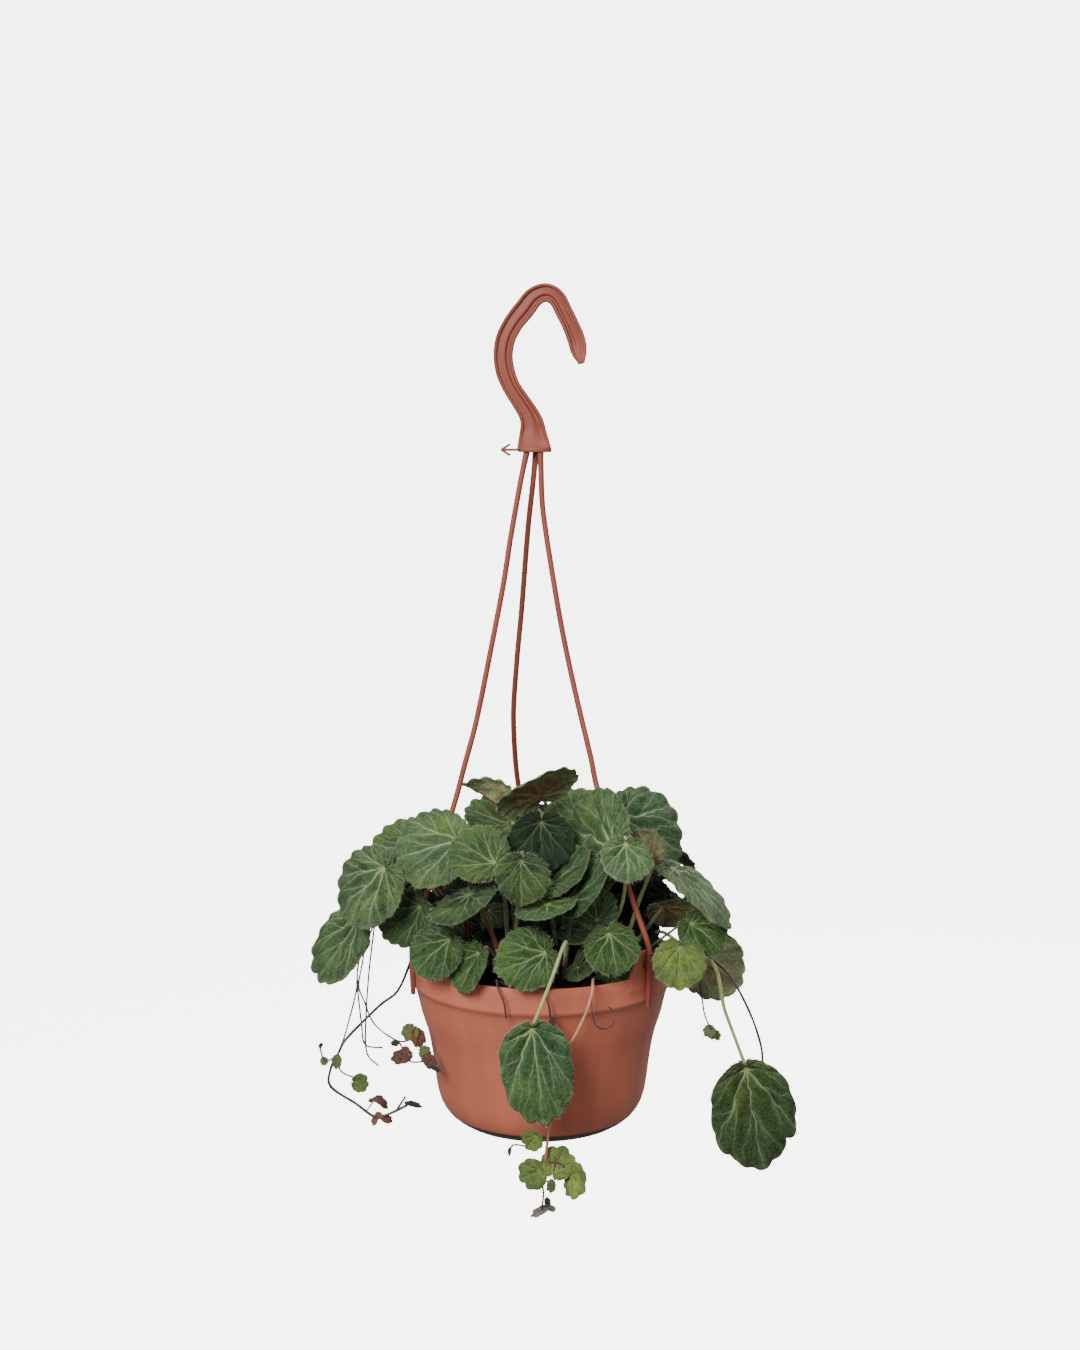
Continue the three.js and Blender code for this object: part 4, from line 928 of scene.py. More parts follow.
leaves = [make_leaf(row, i) for i, row in enumerate(LEAVES)]
needles = []
for arm_line in ARM_LINES:
    line = route(arm_line, NEEDLE_STEPS)
    needles.append(line[line[:, 2] < NEEDLE_TOP])
for threads in RUNNERS.values():
    needles += [thread_line(thread) for thread in threads]
settle(leaves, needles)

# Stalks: each starts upright beside its crown's middle and bows only as far as it must to miss the blades.
START_OFF, START_LEAN, START_BELOW, START_UP = 1.8, 1.5, 1, 5
LAST_STRETCH = 0.22
STALK_STEPS, LONG_STALK_STEPS = 7, 11
TOUCH = 2.2
STRIDE = 14
BOWS = (
    (0, 0.5), (0, 0.75), (7, 0.6), (-7, 0.6), (0, 0.3), (13, 0.6), (-13, 0.6), (10, 0.35), (-10, 0.35),
)


def stalk_points(leaf, bow, lift):
    crown = CROWNS[leaf["crown"]]
    ahead = unit((leaf["at"] - crown) * (1, 1, 0))
    side = np.array([-ahead[1], ahead[0], 0])
    along = leaf["form"]["along"]
    arrive = unit(leaf["O"] * along + leaf["F"] * (1 - along))
    before = leaf["at"] - arrive * LAST_STRETCH * leaf["length"]
    start = crown + ahead * START_OFF
    foot = start + (0, 0, -START_BELOW)
    low = start + ahead * START_LEAN + (0, 0, START_UP)
    middle = start + 0.4 * (before - start) + side * bow
    middle[2] = start[2] + lift * (before[2] - start[2])
    over = [np.array(p, float) for p in leaf["over"]] or [middle]
    return [foot, low, *over, before, spot(leaf, 0, 0, -BLADE / 2)]


def goes_through(line, blade):
    share = np.array([0, 0.25, 0.5, 0.75])[None, :, None]
    places = (line[:-1, None] * (1 - share) + line[1:, None] * share).reshape(-1, 3)
    last = 0
    for gap, within in zip(*place_on(blade, places)):
        if within and (abs(gap) < TOUCH or (gap * last < 0 and abs(gap - last) < STRIDE)):
            return True
        last = gap if within else 0
    return False


for leaf in leaves:
    half_way = leaf["at"][:2] * 0.5
    leaf["crown"] = int(np.argmin(np.hypot(*(CROWNS[:, :2] - half_way).T)))
for leaf in leaves:
    best = None
    steps = LONG_STALK_STEPS if leaf["over"] else STALK_STEPS
    for bow, lift in BOWS:
        points = stalk_points(leaf, bow, lift)
        line = route(points, steps)
        crossed = sum(goes_through(line, other) for other in leaves if other is not leaf)
        if best is None or crossed < best:
            best = crossed
            leaf["stalk"] = points
        if not crossed or leaf["over"]:
            break

# Young leaves: small dark blades low over the crowns, wherever the grown ones leave room for them. The
# densest places come first; the blades there, and most of the others, take the shade tone, painted shade that
# fills the dark inside of the foliage.
YOUNG_TRIES = 900
YOUNG_MOST = 20
YOUNG_LENGTHS = (15, 30)
YOUNG_HEIGHTS = (9, 66)
YOUNG_ROOM = 2.2
POT_ROOM, OVER_POT_ROOM = 68, 84
DENSE = [
    (54, -12, -338), (65, -14, -348), (48, -8, -344), (60, -2, -330), (-26, -18, -331), (-60, -18, -342),
    (-60, -16, -326), (-38, -28, -345), (-12, -30, -345), (12, -28, -345), (32, -28, -345), (-46, -6, -330),
    (-30, -4, -318), (30, -10, -320), (6, -20, -318), (74, 0, -340), (-70, 2, -340), (0, 18, -281),
    (4, 12, -289),
]
DENSE_TRIES = 90
DENSE_LENGTHS = (20, 36)


def has_room(young, others, needle_places):
    places = spot(young, *probe_spots(young))
    off = np.hypot(places[:, 0] - POT_X, places[:, 1])
    low = places[:, 2] < RIM_Z + 8
    if (off > np.where(low, POT_ROOM, OVER_POT_ROOM)).any() or places[:, 2].min() < SOIL_Z + 4:
        return False
    for other in others:
        if np.linalg.norm(other["at"] - young["at"]) > 0.9 * (other["length"] + young["length"]) + 4:
            continue
        gap, within = place_on(other, places)
        if (within & (np.abs(gap) < YOUNG_ROOM)).any():
            return False
        gap, within = place_on(young, other["probe"])
        if (within & (np.abs(gap) < YOUNG_ROOM)).any():
            return False
    gap, within = place_on(young, needle_places)
    return not (within & (np.abs(gap) < 3)).any()


def add_young(row):
    """Adds a young leaf to the grown ones if it and its stalk have room there."""
    young = make_leaf(row, len(grown))
    if not has_room(young, grown, needle_places):
        return False
    young["crown"] = int(np.argmin(np.hypot(*(CROWNS[:, :2] - young["at"][:2] * 0.8).T)))
    young["stalk"] = stalk_points(young, 0, 0.5)
    near = [other for other in grown if np.linalg.norm(other["at"] - young["at"]) < 70]
    if any(goes_through(route(young["stalk"], STALK_STEPS), other) for other in near):
        return False
    young["probe"] = spot(young, *probe_spots(young))
    grown.append(young)
    young_leaves.append(young)
    return True


draw = np.random.default_rng(23)
needle_places = np.concatenate(needles)
grown = list(leaves)
for leaf in grown:
    leaf["probe"] = spot(leaf, *probe_spots(leaf))
young_leaves = []
for dense_place in DENSE:
    for _ in range(DENSE_TRIES):
        turn = draw.uniform(0, 2 * math.pi)
        seat = np.array(dense_place, float) + draw.normal(0, 5, 3)
        face = (draw.normal(0, 0.35), -0.8 + draw.normal(0, 0.2), 0.5 + draw.normal(0, 0.2))
        out = (math.cos(turn), -0.2, math.sin(turn))
        if add_young((seat, out, face, draw.uniform(*DENSE_LENGTHS), "flat", "shade")):
            break
for crown in CROWNS:
    made = 0
    for _ in range(YOUNG_TRIES):
        turn = draw.uniform(0, 2 * math.pi)
        off = draw.uniform(3, 34)
        seat = crown + (off * math.cos(turn), off * math.sin(turn), draw.uniform(*YOUNG_HEIGHTS))
        out = (math.cos(turn), math.sin(turn), draw.uniform(-0.4, 0.3))
        face = (0.5 * math.cos(turn) + draw.normal(0, 0.3), 0.5 * math.sin(turn) - 0.35, 0.8)
        form = ("flat", "cupped", "folded")[int(draw.integers(3))]
        tone = "shade" if draw.random() < 0.6 else "dark"
        made += add_young((seat, out, face, draw.uniform(*YOUNG_LENGTHS), form, tone))
        if made == YOUNG_MOST:
            break

# The blade's net of points is a disc inset ring by ring, which every leaf then bends into its own form.
TEETH = 22
VEINS = 10
SEGMENTS = 7 * TEETH
INSETS = (0.025, 0.035, 0.05, 0.065, 0.075, 0.085, 0.09, 0.095, 0.1, 0.1, 0.1, 0.09)
THICK = 0.7


def disc_net(segments, insets):
    bpy.ops.object.select_all(action="DESELECT")
    bpy.ops.mesh.primitive_circle_add(vertices=segments, radius=1, fill_type="NGON")
    with shaping():
        for inset in insets:
            bpy.ops.mesh.inset(thickness=inset, depth=0)
        bpy.ops.mesh.poke()
    net = bpy.context.active_object
    spots = np.array([v.co for v in net.data.vertices])
    faces = [tuple(f.vertices) for f in net.data.polygons]
    if net.data.polygons[0].normal.z < 0:
        faces = [face[::-1] for face in faces]
    bpy.data.objects.remove(net)
    share = np.hypot(spots[:, 0], spots[:, 1])
    angle = np.arctan2(spots[:, 1], spots[:, 0])
    return share / share.max(), angle, faces


def wander(values, seed):
    """A smooth irregular wave between about -1 and 1 over the values."""
    wave = np.sin(2 * values + seed) * 0.5 + np.sin(3.1 * values + 2.3 * seed) * 0.3
    return wave + np.sin(5.3 * values + 4.1 * seed) * 0.2


SWAY, SUNKEN, QUILT, CRIMP, ROLL = 0.03, 0.014, 0.03, 0.012, 0.036


def blade_places(leaf, share, angle, teeth=TEETH, relief=1.0):
    """A leaf's upper side: a finely toothed and crimped edge, its form, sunken veins and quilts between."""
    phase = leaf["phase"]
    loose = angle + 0.05 * wander(angle, 2.7 * phase)
    tooth = np.abs(np.cos(teeth / 2 * loose))
    depth = leaf.get("teeth_depth", 0.055) * (1 + 0.5 * wander(2.3 * angle, 1.9 * phase))
    notch = depth * (1 - tooth**0.7) * np.clip((math.pi - np.abs(angle)) / 0.4, 0, 1)
    lobe = leaf.get("lobe_depth", 0.02) * (1 - np.abs(np.cos(VEINS / 2 * angle)) ** 0.8)
    uneven = 1.012 + 0.03 * wander(angle, phase)
    r = share * (1 - (notch + lobe) * share**3) * uneven * reach(leaf["length"], leaf["form"]["root"], angle)
    u = r * np.cos(angle)
    shoulder = 1 + leaf["form"].get("shoulder", 0) * swelling(u / leaf["length"], 0.26)
    v = r * np.sin(angle) * leaf["form"]["width"] * shoulder
    station = VEINS * angle / (2 * math.pi)
    off = np.abs(station - np.round(station))
    vein = swelling(off * share, 0.06) * np.clip(share * 5, 0, 1)
    puff = 0.55 + 0.45 * np.sin(share * 19 + 2 * wander(angle, phase))
    quilt = np.sin(off * math.pi) * puff * np.sin(share * math.pi * 0.9)
    crimp = np.cos(teeth * loose) * share**8
    sway = wander(angle, 1.3 * phase) * share**2
    rolled = share**6
    form = SWAY * sway - SUNKEN * vein + QUILT * quilt + CRIMP * crimp - ROLL * rolled
    h = relief * leaf["length"] * form
    return u, v, rise(leaf, u, v) + h


def leaf_blade(name, leaves_here, net, sides, thick=THICK, teeth=TEETH, relief=1.0):
    """The blades of one plant as one mesh, with their thickness, their own leaf coordinates and tint."""
    share, angle, faces = net
    places, every, tint, seed = [], [], [], []
    for n, leaf in enumerate(leaves_here):
        places.append(spot(leaf, *blade_places(leaf, share, angle, teeth, relief)))
        every += [tuple(c + n * len(share) for c in face) for face in faces]
        tint.append(np.tile(leaf["tint"], (len(share), 1)))
        seed.append(np.full(len(share), leaf["phase"]))
    blade = mesh_piece(name, np.concatenate(places), every)
    data = blade.data
    data.attributes.new("tint", "FLOAT_COLOR", "POINT").data.foreach_set(
        "color", np.concatenate(tint).ravel()
    )
    data.attributes.new("seed", "FLOAT", "POINT").data.foreach_set("value", np.concatenate(seed))
    loops = np.zeros(len(data.loops), int)
    data.loops.foreach_get("vertex_index", loops)
    flat = np.stack([share * np.cos(angle), share * np.sin(angle)], axis=1)
    palm = np.tile(flat, (len(leaves_here), 1))[loops]
    data.uv_layers.new(name="palm").data.foreach_set("uv", palm.ravel())
    bpy.ops.object.select_all(action="DESELECT")
    blade.select_set(True)
    bpy.context.view_layer.objects.active = blade
    bpy.ops.object.shade_smooth()
    for side in sides:
        blade.data.materials.append(side)
    body = blade.modifiers.new("thickness", "SOLIDIFY")
    body.thickness = thick * MM
    body.offset = -1
    body.material_offset = 1
    bpy.ops.object.modifier_apply(modifier="thickness")
    return blade


# The leaf's two sides. The leaf coordinates run from the stalk's end to 1 at the edge, so the veins are lines
# that fork on their way to the teeth, each a little differently.
def maths(tree, operation, *values):
    made = tree.nodes.new("ShaderNodeMath")
    made.operation = operation
    for socket, value in zip(made.inputs, values):
        if isinstance(value, bpy.types.NodeSocket):
            tree.links.new(value, socket)
        else:
            socket.default_value = value
    return made.outputs[0]


def vein_mask(tree, place):
    """How much of a place is vein, and how near it is to one, from the leaf coordinates."""
    palm = add_node(tree, "UVMap", uv_map="palm").outputs["UV"]
    wobble = add_node(tree, "TexNoise", {"Vector": place, "Scale": 75, "Detail": 2}).outputs["Color"]
    centred = add_node(tree, "VectorMath", {0: wobble, 1: (0.5, 0.5, 0.5)}, operation="SUBTRACT")
    shift = scaled(tree, centred.outputs[0], 0.2)
    bent = add_node(tree, "VectorMath", {0: palm, 1: shift}, operation="ADD")
    parts = add_node(tree, "SeparateXYZ", {0: bent.outputs[0]})
    x, y = parts.outputs[0], parts.outputs[1]
    r = maths(tree, "SQRT", maths(tree, "ADD", maths(tree, "MULTIPLY", x, x), maths(tree, "MULTIPLY", y, y)))
    sector = maths(tree, "MULTIPLY", maths(tree, "ARCTAN2", y, x), VEINS / (2 * math.pi))
    middle = maths(tree, "ROUND", sector)
    signed = maths(tree, "SUBTRACT", sector, middle)
    turned = maths(tree, "MULTIPLY", maths(tree, "ABSOLUTE", signed), 2 * math.pi / VEINS)
    off = maths(tree, "MULTIPLY", turned, r)
    seed = add_node(tree, "Attribute", attribute_name="seed").outputs["Fac"]
    key = add_node(tree, "CombineXYZ", {0: middle, 1: seed, 2: maths(tree, "SIGN", signed)})
    chance = add_node(tree, "TexWhiteNoise", {"Vector": key.outputs[0]}).outputs["Value"]

    def branch(start, slope):
        """How far aside of the vein a branch has grown that leaves it at the start."""
        return maths(tree, "MULTIPLY", maths(tree, "MAXIMUM", maths(tree, "SUBTRACT", r, start), 0), slope)

    def beside(line):
        return maths(tree, "ABSOLUTE", maths(tree, "SUBTRACT", off, line))

    first = maths(tree, "MULTIPLY_ADD", chance, 0.28, 0.22)
    outer = branch(first, 0.46)
    inner = branch(maths(tree, "ADD", first, 0.26), 0.34)
    fork = maths(tree, "SUBTRACT", outer, branch(maths(tree, "ADD", first, 0.16), 0.3))
    lines = (
        (off, 0.018, 1.0),
        (beside(outer), 0.0135, 0.8),
        (beside(inner), 0.0105, 0.55),
        (beside(fork), 0.0095, 0.45),
    )
    mask, near = 0.0, 0.0
    taper = maths(tree, "SUBTRACT", 1.12, r)
    smooth = {"interpolation_type": "SMOOTHSTEP"}
    for distance, width, strength in lines:
        wide = maths(tree, "MULTIPLY", taper, width)
        line = graded(tree, distance, wide, maths(tree, "MULTIPLY", wide, 0.25), 0, strength, **smooth)
        mask = maths(tree, "MAXIMUM", mask, line)
        near = maths(tree, "MAXIMUM", near, graded(tree, distance, 0.07, 0, 0, strength, **smooth))
    return mask, near, r


def leaf_side(name, vein_colour, margin, under):
    """One side of a blade: cloudy and quilted, with a fine net, pale veins, a pale heart and a pale edge, and
    painted light and shade in cloudy patches and a pebbled mottle.
    """
    material, tree, surface = new_material(
        name,
        Roughness=0.62,
        IOR=1.4,
        Sheen_Weight=0.02,
        Sheen_Roughness=0.5,
        Sheen_Tint=(0.85, 0.92, 0.82, 1),
        Specular_IOR_Level=0.09,
    )
    place = object_place(tree)
    mask, near, r = vein_mask(tree, place)
    tint = add_node(tree, "Attribute", attribute_name="tint")
    strength = tint.outputs["Alpha"]
    patch = cloudy(tree, place, 95, 4)
    cells = add_node(tree, "TexVoronoi", {"Vector": place, "Scale": 400}, feature="DISTANCE_TO_EDGE")
    net = graded(tree, cells.outputs["Distance"], 0.1, 0.02)
    pebbles = add_node(tree, "TexVoronoi", {"Vector": place, "Scale": 560}, feature="SMOOTH_F1")
    pebble = graded(tree, pebbles.outputs["Distance"], 0.1, 0.75, 1, 0)
    base = tint.outputs["Color"]
    if under:
        green = add_node(tree, "SeparateColor", {0: base}).outputs[1]
        base = mix(tree, graded(tree, patch, 0.3, 0.7), linear(134, 76, 56), linear(112, 110, 76))
        out = maths(tree, "ADD", r, maths(tree, "MULTIPLY", patch, 0.7))
        base = mix(tree, graded(tree, out, 0.45, 1.1, 0, 0.9), base, linear(98, 114, 80))
        # Painted light and shade: the underside is lightened under leaves with a greener upper tint, standing
        # in for light that barely reaches it from below, and darkened under the near-black shade-toned
        # leaves.
        base = scaled(tree, base, graded(tree, green, 0.02, 0.06, 0.3, 1.7))
    else:
        # Painted light: cloudy patches lighten the upper side towards yellow-green, as if sunlit.
        painted_light_patch = graded(tree, cloudy(tree, place, 36), 0.5, 0.68)
        bright = add_node(tree, "VectorMath", {0: base, 1: (1.75, 1.45, 0.85)}, operation="MULTIPLY")
        base = mix(tree, painted_light_patch, base, bright.outputs[0])
    # Painted shade and light: cloudy patches darken and lighten the colour, and each grain of the pebbled
    # relief is painted lighter at its middle and darker at its edges, like the shading of the bumps.
    darker = graded(tree, patch, 0.3, 0.7, 0.55, 1.3)
    painted_shading = maths(tree, "MULTIPLY", darker, maths(tree, "MULTIPLY_ADD", pebble, 0.42, 0.76))
    colour = scaled(tree, base, painted_shading)
    layers = (
        (maths(tree, "MULTIPLY", near, 0.2), vein_colour),
        (maths(tree, "MULTIPLY", net, 0.13), vein_colour),
        (mask, vein_colour),
        (graded(tree, r, 0.16, 0, 0, 0.75, interpolation_type="SMOOTHSTEP"), linear(128, 142, 62)),
        (graded(tree, r, 0.94, 1, 0, 0.38), margin),
    )
    for share, layer in layers:
        colour = mix(tree, maths(tree, "MULTIPLY", share, strength), colour, layer)
    height = maths(tree, "MULTIPLY", mask, 0.5 if under else -0.6)
    for layer, depth in ((cloudy(tree, place, 900, 3), 0.35), (net, -0.25), (pebble, 0.8)):
        height = maths(tree, "ADD", height, maths(tree, "MULTIPLY", layer, depth))
    feed(tree, surface, {"Base Color": colour, "Normal": bumped(tree, height, 0.75, 0.0006)})
    return material


leaf_upper = leaf_side("leaf_upper", linear(142, 158, 120), linear(128, 132, 104), under=False)
leaf_under = leaf_side("leaf_under", linear(156, 130, 92), linear(120, 116, 84), under=True)


# Stalks and runner threads: round, finely hairy, yellow-green to red, with a colour that changes along them.
stalk_skin, stalk_tree, stalk_surface = new_material("stalk_skin", Roughness=0.5, Sheen_Weight=0.2)
stalk_tint = add_node(stalk_tree, "Attribute", attribute_name="tint").outputs["Color"]
stalk_streak = cloudy(stalk_tree, object_place(stalk_tree), 260, 3)
feed(stalk_tree, stalk_surface, {
    "Base Color": scaled(stalk_tree, stalk_tint, graded(stalk_tree, stalk_streak, 0.3, 0.7, 0.75, 1.2)),
    "Normal": bumped(stalk_tree, stalk_streak, 0.4, 0.0003),
})


def tube(name, line, radii, sides, colours, material):
    """A tube along a line, with the colour going from the first to the last of the given ones."""
    piece = mesh_piece(name, tube_places(line, radii, sides), ring_faces(len(line), sides))
    share = np.linspace(0, len(colours) - 1, len(line))
    rgba = np.stack(
        [np.interp(share, range(len(colours)), [c[k] for c in colours]) for k in range(4)], axis=1
    )
    tint = piece.data.attributes.new("tint", "FLOAT_COLOR", "POINT")
    tint.data.foreach_set("color", np.repeat(rgba, sides, axis=0).ravel())
    piece.data.materials.append(material)
    piece.data.shade_smooth()
    return piece


bristle, bristle_tree, bristle_surface = new_material(
    "bristles", Roughness=0.6, Base_Color=linear(140, 144, 120)
)
bristle_tone = cloudy(bristle_tree, object_place(bristle_tree), 60)
bristle_stops = ((0, linear(112, 100, 84)), (1, linear(138, 144, 122)))
feed(bristle_tree, bristle_surface, {"Base Color": shades(bristle_tree, bristle_tone, *bristle_stops)})


def bristles(name, roots, ways, lengths, width=0.085):
    """Fine closed three-sided bristles from their roots."""
    ways = ways / np.linalg.norm(ways, axis=1)[:, None]
    side = np.cross(ways, (0.31, 0.62, 0.72))
    side /= np.linalg.norm(side, axis=1)[:, None]
    other = np.cross(ways, side)
    corners = [roots + ways * lengths[:, None]]
    for k in range(3):
        a = 2 * math.pi * k / 3
        corners.append(roots - ways * 0.15 + width * (math.cos(a) * side + math.sin(a) * other))
    places = np.stack(corners, axis=1).reshape(-1, 3)
    shape = np.array([(0, 1, 2), (0, 2, 3), (0, 3, 1), (1, 3, 2)])
    faces = (shape[None] + 4 * np.arange(len(roots))[:, None, None]).reshape(-1, 3)
    piece = mesh_piece(name, places, faces.tolist())
    piece.data.materials.append(bristle)
    return piece


def leaf_bristles(name, leaves_here, per_mm, on_blade, draw):
    """Bristles round each blade's edge and all over its upper side."""
    roots, ways, lengths = [], [], []
    for leaf in leaves_here:
        edge = int(leaf["length"] * 3.1 * per_mm)
        inner = int(on_blade * leaf["length"] ** 2)
        angle = draw.uniform(-math.pi, math.pi, edge + inner)
        share = np.concatenate([np.ones(edge), np.sqrt(draw.uniform(0.01, 0.96, inner))])
        u, v, h = blade_places(leaf, share, angle)
        here = spot(leaf, u, v, h)
        outward = np.outer(np.cos(angle), leaf["O"]) + np.outer(np.sin(angle), leaf["S"])
        loose = draw.normal(0, 0.25, (edge + inner, 3))
        lean = np.where(np.arange(edge + inner) < edge, 1.0, 0.35)[:, None]
        up = np.where(np.arange(edge + inner) < edge, 0.15, 1.0)[:, None]
        roots.append(here)
        ways.append(outward * lean + leaf["F"] * up + loose)
        lengths.append(draw.uniform(0.9, 2.1, edge + inner))
    return bristles(name, np.concatenate(roots), np.concatenate(ways), np.concatenate(lengths))


STALK_RADIUS = 1.45
STALK_TAPER = 0.6
RED_STALK = linear(116, 46, 40)
GREEN_STALK = linear(70, 76, 42)
PALE_STALK = linear(142, 150, 88)
DULL_STALK = linear(106, 92, 62)
LEAF_SIDES = (leaf_upper, leaf_under)
blade_net = disc_net(SEGMENTS, INSETS)
draw = np.random.default_rng(5)
for leaf in grown:
    colour, veins = TONES[leaf["tone"]]
    shift = draw.normal(1, 0.05, 3)
    leaf["tint"] = np.array([*np.clip(np.array(colour[:3]) * shift, 0, 1), veins])
    leaf["lobe_depth"] = 0.055 if leaf["tone"] == "deep" else 0.02

young_net = disc_net(4 * TEETH, (0.04, 0.07, 0.1, 0.13, 0.15, 0.16))
for number, crown in enumerate(CROWNS):
    here = [leaf for leaf in leaves if leaf["crown"] == number]
    low_here = [leaf for leaf in young_leaves if leaf["crown"] == number]
    parts = [leaf_blade(f"rosette_{number + 1}_blades", here, blade_net, LEAF_SIDES)]
    if low_here:
        parts.append(leaf_blade("young_blades", low_here, young_net, LEAF_SIDES))
    for leaf in [*here, *low_here]:
        over_edge = leaf["form"]["along"] > 0.8
        line = route([*leaf["stalk"][:-2], leaf["stalk"][-1]] if over_edge else leaf["stalk"], 30)
        share = np.linspace(0, 1, len(line))
        radii = STALK_RADIUS - STALK_TAPER * share
        radii += 0.3 * swelling(share, 0.06) + 0.2 * swelling(1 - share, 0.05)
        radii[-1] *= 0.4
        red = leaf["at"][0] < -30 or leaf["crown"] in (0, 6)
        colours = (RED_STALK, RED_STALK if red else GREEN_STALK, GREEN_STALK)
        if leaf["over"]:
            radii = radii * (0.75 + 0.35 * share)
            colours = (RED_STALK, DULL_STALK, PALE_STALK, PALE_STALK, PALE_STALK)
        elif leaf["length"] < 30:
            radii = radii * 0.7
        parts.append(tube("stalk", line, radii, 8, colours, stalk_skin))
    parts.append(
        leaf_bristles("bristles", [leaf for leaf in here if leaf["tone"] != "shade"], 1.4, 0.1, draw)
    )
    rosette = join_pieces(f"rosette_{number + 1}_plant", parts)
    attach(rosette, "root")
    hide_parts(f"rosette_{number + 1}")

# Runners: thin threads that creep over the rim and hang, red-brown to purple, forking to plantlets: small
# round leaves, deeply scalloped, green, plum or rust, some of them still folded, and one withered.
PLANTLET_TEETH = 12
PLANTLET_FORMS = {
    "round": dict(root=0.62, width=1.06, cup=0.1, droop=0.1, fold=0.06, wave=0.05),
    "petal": dict(root=0.8, width=0.72, cup=0.06, droop=0.2, fold=0.12, wave=0.05),
    "curled": dict(root=0.7, width=0.9, cup=-0.1, droop=0.7, fold=0.2, wave=0.06),
    "slim": dict(root=0.85, width=0.42, cup=0.02, droop=0.2, fold=0.3, wave=0.05),
}
PLANTLET_TONES = {
    "green": (linear(70, 92, 44), 0.6),
    "yellow": (linear(92, 108, 56), 0.6),
    "olive": (linear(86, 92, 62), 0.4),
    "plum": (linear(84, 50, 54), 0.35),
    "rust": (linear(94, 60, 52), 0.35),
    "soot": (linear(46, 44, 42), 0.2),
    "ash": (linear(112, 106, 102), 0.1),
}
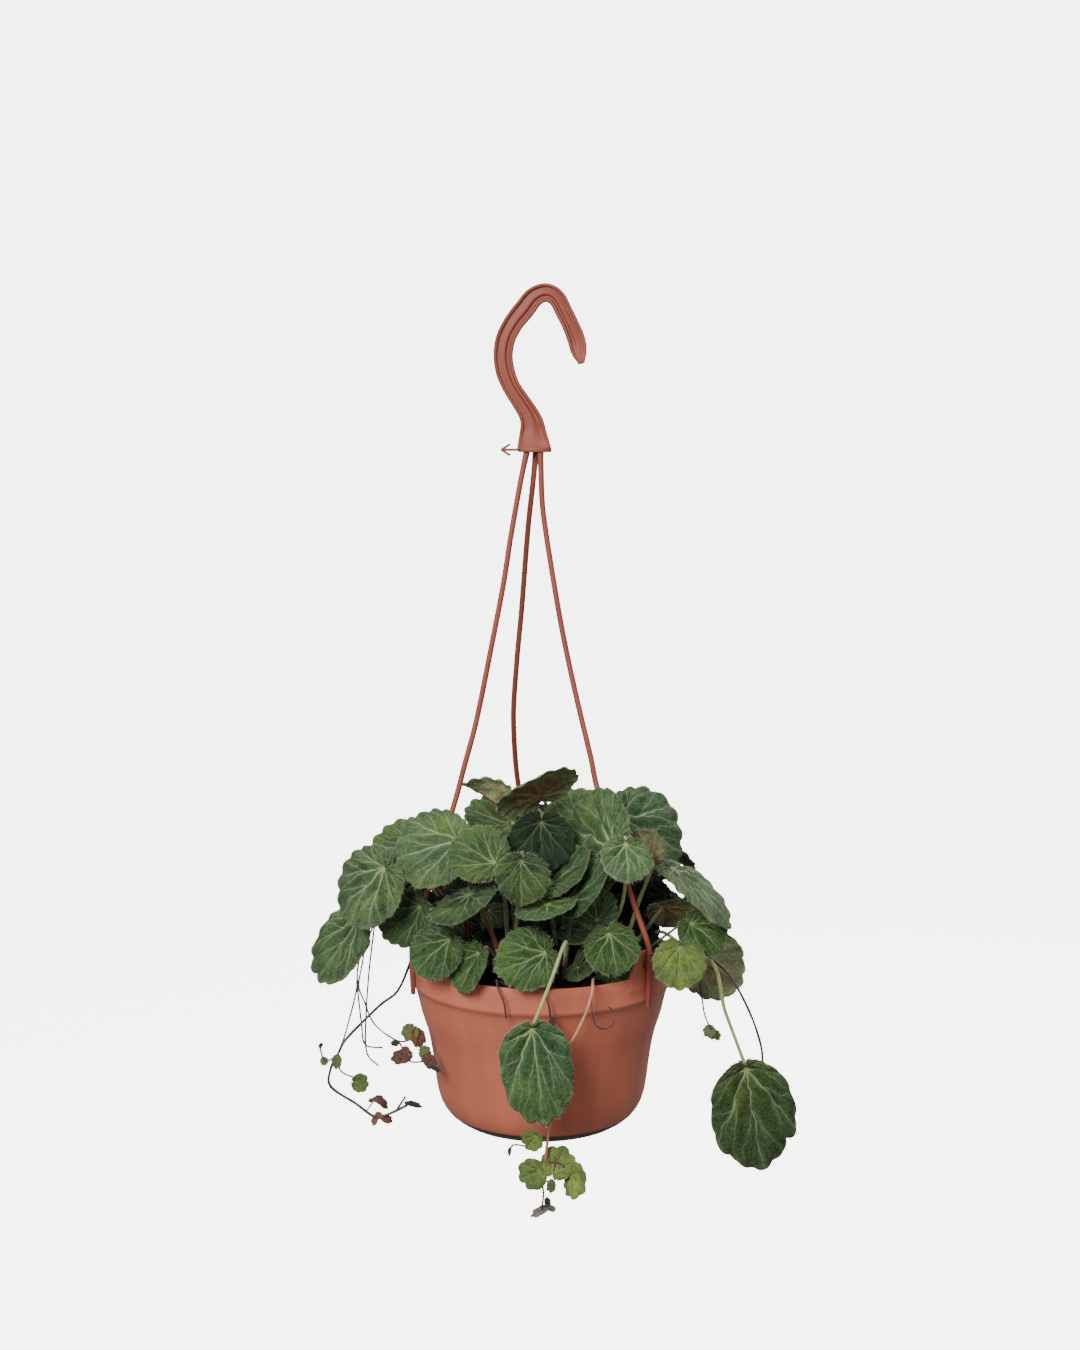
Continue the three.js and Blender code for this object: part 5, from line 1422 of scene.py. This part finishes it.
# Where its stem ends, the way the tip points, the way the upper side faces, length, form and tone.
PLANTLETS = {
    "left": [
        [(-117, -27, -418.5), (-0.1, -0.1, -0.99), (0.1, -0.9, 0.3), 8.5, "petal", "olive"],
        [(-123, -26, -421.9), (-0.95, 0, -0.1), (0, -0.8, 0.5), 5, "round", "olive"],
        [(-127, -26, -414), (0.5, 0, 0.8), (0, -0.9, 0.2), 3.4, "petal", "soot"],
        [(-107.5, -27, -434), (0.97, -0.1, -0.1), (0.1, -0.9, 0.4), 10.5, "round", "green"],
        [(-96, -26, -444), (0.95, -0.2, 0), (0.05, -0.3, 0.95), 9, "curled", "plum"],
        [(-96.5, -26, -444.5), (-0.8, -0.1, -0.2), (0, -0.7, 0.7), 4, "petal", "soot"],
        [(-95.5, -26, -454.6), (-0.5, -0.2, -0.8), (-0.5, -0.7, 0.3), 6.5, "petal", "rust"],
        [(-95, -26.5, -455), (0.3, -0.4, 0.6), (0, -0.9, 0.3), 4.5, "round", "rust"],
        [(-92.5, -26, -455), (0.95, -0.2, -0.15), (0.2, -0.7, 0.6), 7.5, "petal", "plum"],
        [(-78.5, -26, -446.5), (0.9, 0, -0.35), (0, -0.5, 0.85), 10, "slim", "soot"],
        [(-73.5, -35, -399.5), (-0.5, -0.1, -0.85), (-0.2, -0.9, 0.4), 10, "round", "olive"],
        [(-72.5, -36, -400.5), (0.45, -0.2, -0.85), (0.4, -0.8, 0.3), 12.5, "petal", "rust"],
        [(-75, -37.5, -414), (-0.95, -0.1, -0.2), (0, -0.85, 0.5), 12.5, "petal", "plum"],
        [(-76, -37, -412.5), (-0.7, 0, 0.6), (0, -0.8, 0.5), 5, "petal", "rust"],
        [(-69, -41, -411.5), (0.9, -0.3, 0), (0.1, -0.9, 0.3), 7.5, "round", "green"],
        [(-66.5, -42, -413), (0.6, -0.2, -0.75), (0.3, -0.8, 0.4), 10.5, "petal", "plum"],
        [(-82, -34, -409), (-0.9, 0, 0.1), (0, -0.9, 0.4), 5, "petal", "soot"],
        [(-64, -44, -418.5), (0.85, -0.2, -0.4), (0, -0.6, 0.8), 7.5, "slim", "soot"],
    ],
    "front": [
        [(-5, -80.5, -444.5), (-0.55, -0.1, -0.8), (-0.1, -0.95, 0.2), 11.5, "round", "green"],
        [(-2.4, -80.5, -464.6), (-0.9, -0.1, -0.35), (-0.35, -0.9, 0.1), 17, "round", "green"],
        [(4.6, -80.8, -465.4), (0.42, -0.05, 0.9), (0.1, -0.9, 0.4), 18.5, "round", "yellow"],
        [(13.4, -79, -466.6), (0.5, -0.8, -0.35), (-0.8, -0.55, 0.3), 19, "round", "yellow"],
        [(3.5, -80.5, -470), (-0.1, -0.3, -0.95), (0, -0.9, 0.3), 7.5, "petal", "olive"],
        [(1.8, -79, -485.4), (-0.93, -0.1, -0.38), (-0.3, -0.8, 0.5), 12.5, "slim", "ash"],
        [(1.5, -79, -485), (-0.15, 0, 0.95), (-0.3, -0.9, 0), 5.5, "petal", "soot"],
        [(1.8, -79, -485.8), (0.9, -0.1, -0.35), (0, -0.9, 0.3), 5, "petal", "ash"],
        [(-19, -80, -452), (-0.3, 0, -0.9), (-0.5, -0.8, 0), 5.5, "slim", "soot"],
        [(3, -80, -379), (0.4, -0.2, -0.8), (0.2, -0.9, 0.2), 5.5, "petal", "plum"],
    ],
    "right": [
        [(120, -27, -434), (-0.7, -0.1, -0.6), (0, -0.95, 0.3), 9, "round", "green"],
        [(120, -27, -435), (0.5, -0.1, -0.8), (0.1, -0.9, 0.3), 10, "round", "green"],
        [(93.5, -35, -400), (-0.7, -0.1, -0.6), (-0.1, -0.8, 0.5), 7.5, "round", "olive"],
        [(94, -35, -401.5), (0.6, -0.1, -0.7), (0.3, -0.8, 0.4), 7, "petal", "green"],
        [(93.6, -35.5, -402), (0, -0.3, -0.9), (0.3, -0.9, 0.1), 5, "petal", "rust"],
    ],
    "back": [
        [(-26, 84, -403), (-0.8, 0.1, -0.4), (-0.1, 0.9, 0.4), 12, "round", "green"],
        [(-26, 84, -404), (0.7, 0.1, -0.6), (0.1, 0.9, 0.3), 11, "round", "yellow"],
        [(-16, 81, -444), (-0.8, 0.1, -0.5), (-0.2, 0.9, 0.3), 13, "round", "green"],
        [(-16, 81, -445), (0.85, 0.1, -0.3), (0.2, 0.9, 0.4), 14, "round", "yellow"],
        [(-16, 81.5, -446), (0, 0.4, -0.9), (0, 0.95, 0.2), 9, "petal", "rust"],
        [(46, 78, -402), (-0.7, 0.1, -0.6), (-0.1, 0.9, 0.3), 12, "round", "green"],
        [(46, 78, -403), (0.8, 0.1, -0.4), (0.3, 0.9, 0.3), 12, "round", "olive"],
    ],
}
THREAD_TONES = {
    "left": (linear(74, 50, 46), linear(50, 38, 40)),
    "front": (linear(140, 66, 44), linear(186, 128, 88), linear(150, 96, 66)),
    "right": (linear(58, 40, 38), linear(42, 32, 36)),
    "back": (linear(74, 46, 40), linear(54, 38, 38)),
}
FINE_TONES = dict(THREAD_TONES, front=(linear(78, 24, 18), linear(66, 28, 24)))
STEM_RADIUS = 0.4

plantlet_sides = (
    leaf_side("plantlet_upper", linear(150, 164, 108), linear(46, 50, 42), under=False),
    leaf_side("plantlet_under", linear(128, 92, 74), linear(74, 62, 52), under=True),
)
plantlet_net = disc_net(10 * PLANTLET_TEETH, (0.04, 0.06, 0.09, 0.12, 0.14, 0.16, 0.17))
for side, threads in RUNNERS.items():
    parts, small, thread_places = [], [], []
    for thread in threads:
        line = thread_line(thread, finer=6)
        thread_places.append(line)
        radius = thread[0]
        tones = THREAD_TONES[side] if radius > 0.5 else FINE_TONES[side]
        uneven = radius * (1 + 0.14 * wander(np.linspace(0, 30, len(line)), radius * 7))
        parts.append(tube("thread", line, uneven, 8, tones, stalk_skin))
    thread_places = np.concatenate(thread_places)
    for number, row in enumerate(PLANTLETS[side]):
        leaf = make_leaf(row, number + 3, PLANTLET_FORMS)
        colour, veins = PLANTLET_TONES[leaf["tone"]]
        leaf["tint"] = np.array([*colour[:3], veins])
        leaf["teeth_depth"] = 0.1
        leaf["lobe_depth"] = 0.03
        small.append(leaf)
        root = thread_places[np.argmin(np.linalg.norm(thread_places - leaf["at"], axis=1))]
        stem = np.linspace(root, leaf["at"] - 0.3 * leaf["F"], 5)
        parts.append(tube("stem", stem, STEM_RADIUS, 6, FINE_TONES[side], stalk_skin))
    parts.append(leaf_blade("plantlets", small, plantlet_net, plantlet_sides, 0.45, PLANTLET_TEETH, 1.3))
    parts.append(leaf_bristles("bristles", small, 1.2, 0.3, draw))
    whole = join_pieces(f"runner_{side}_plant", parts)
    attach(whole, "root")
    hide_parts(f"runner_{side}")
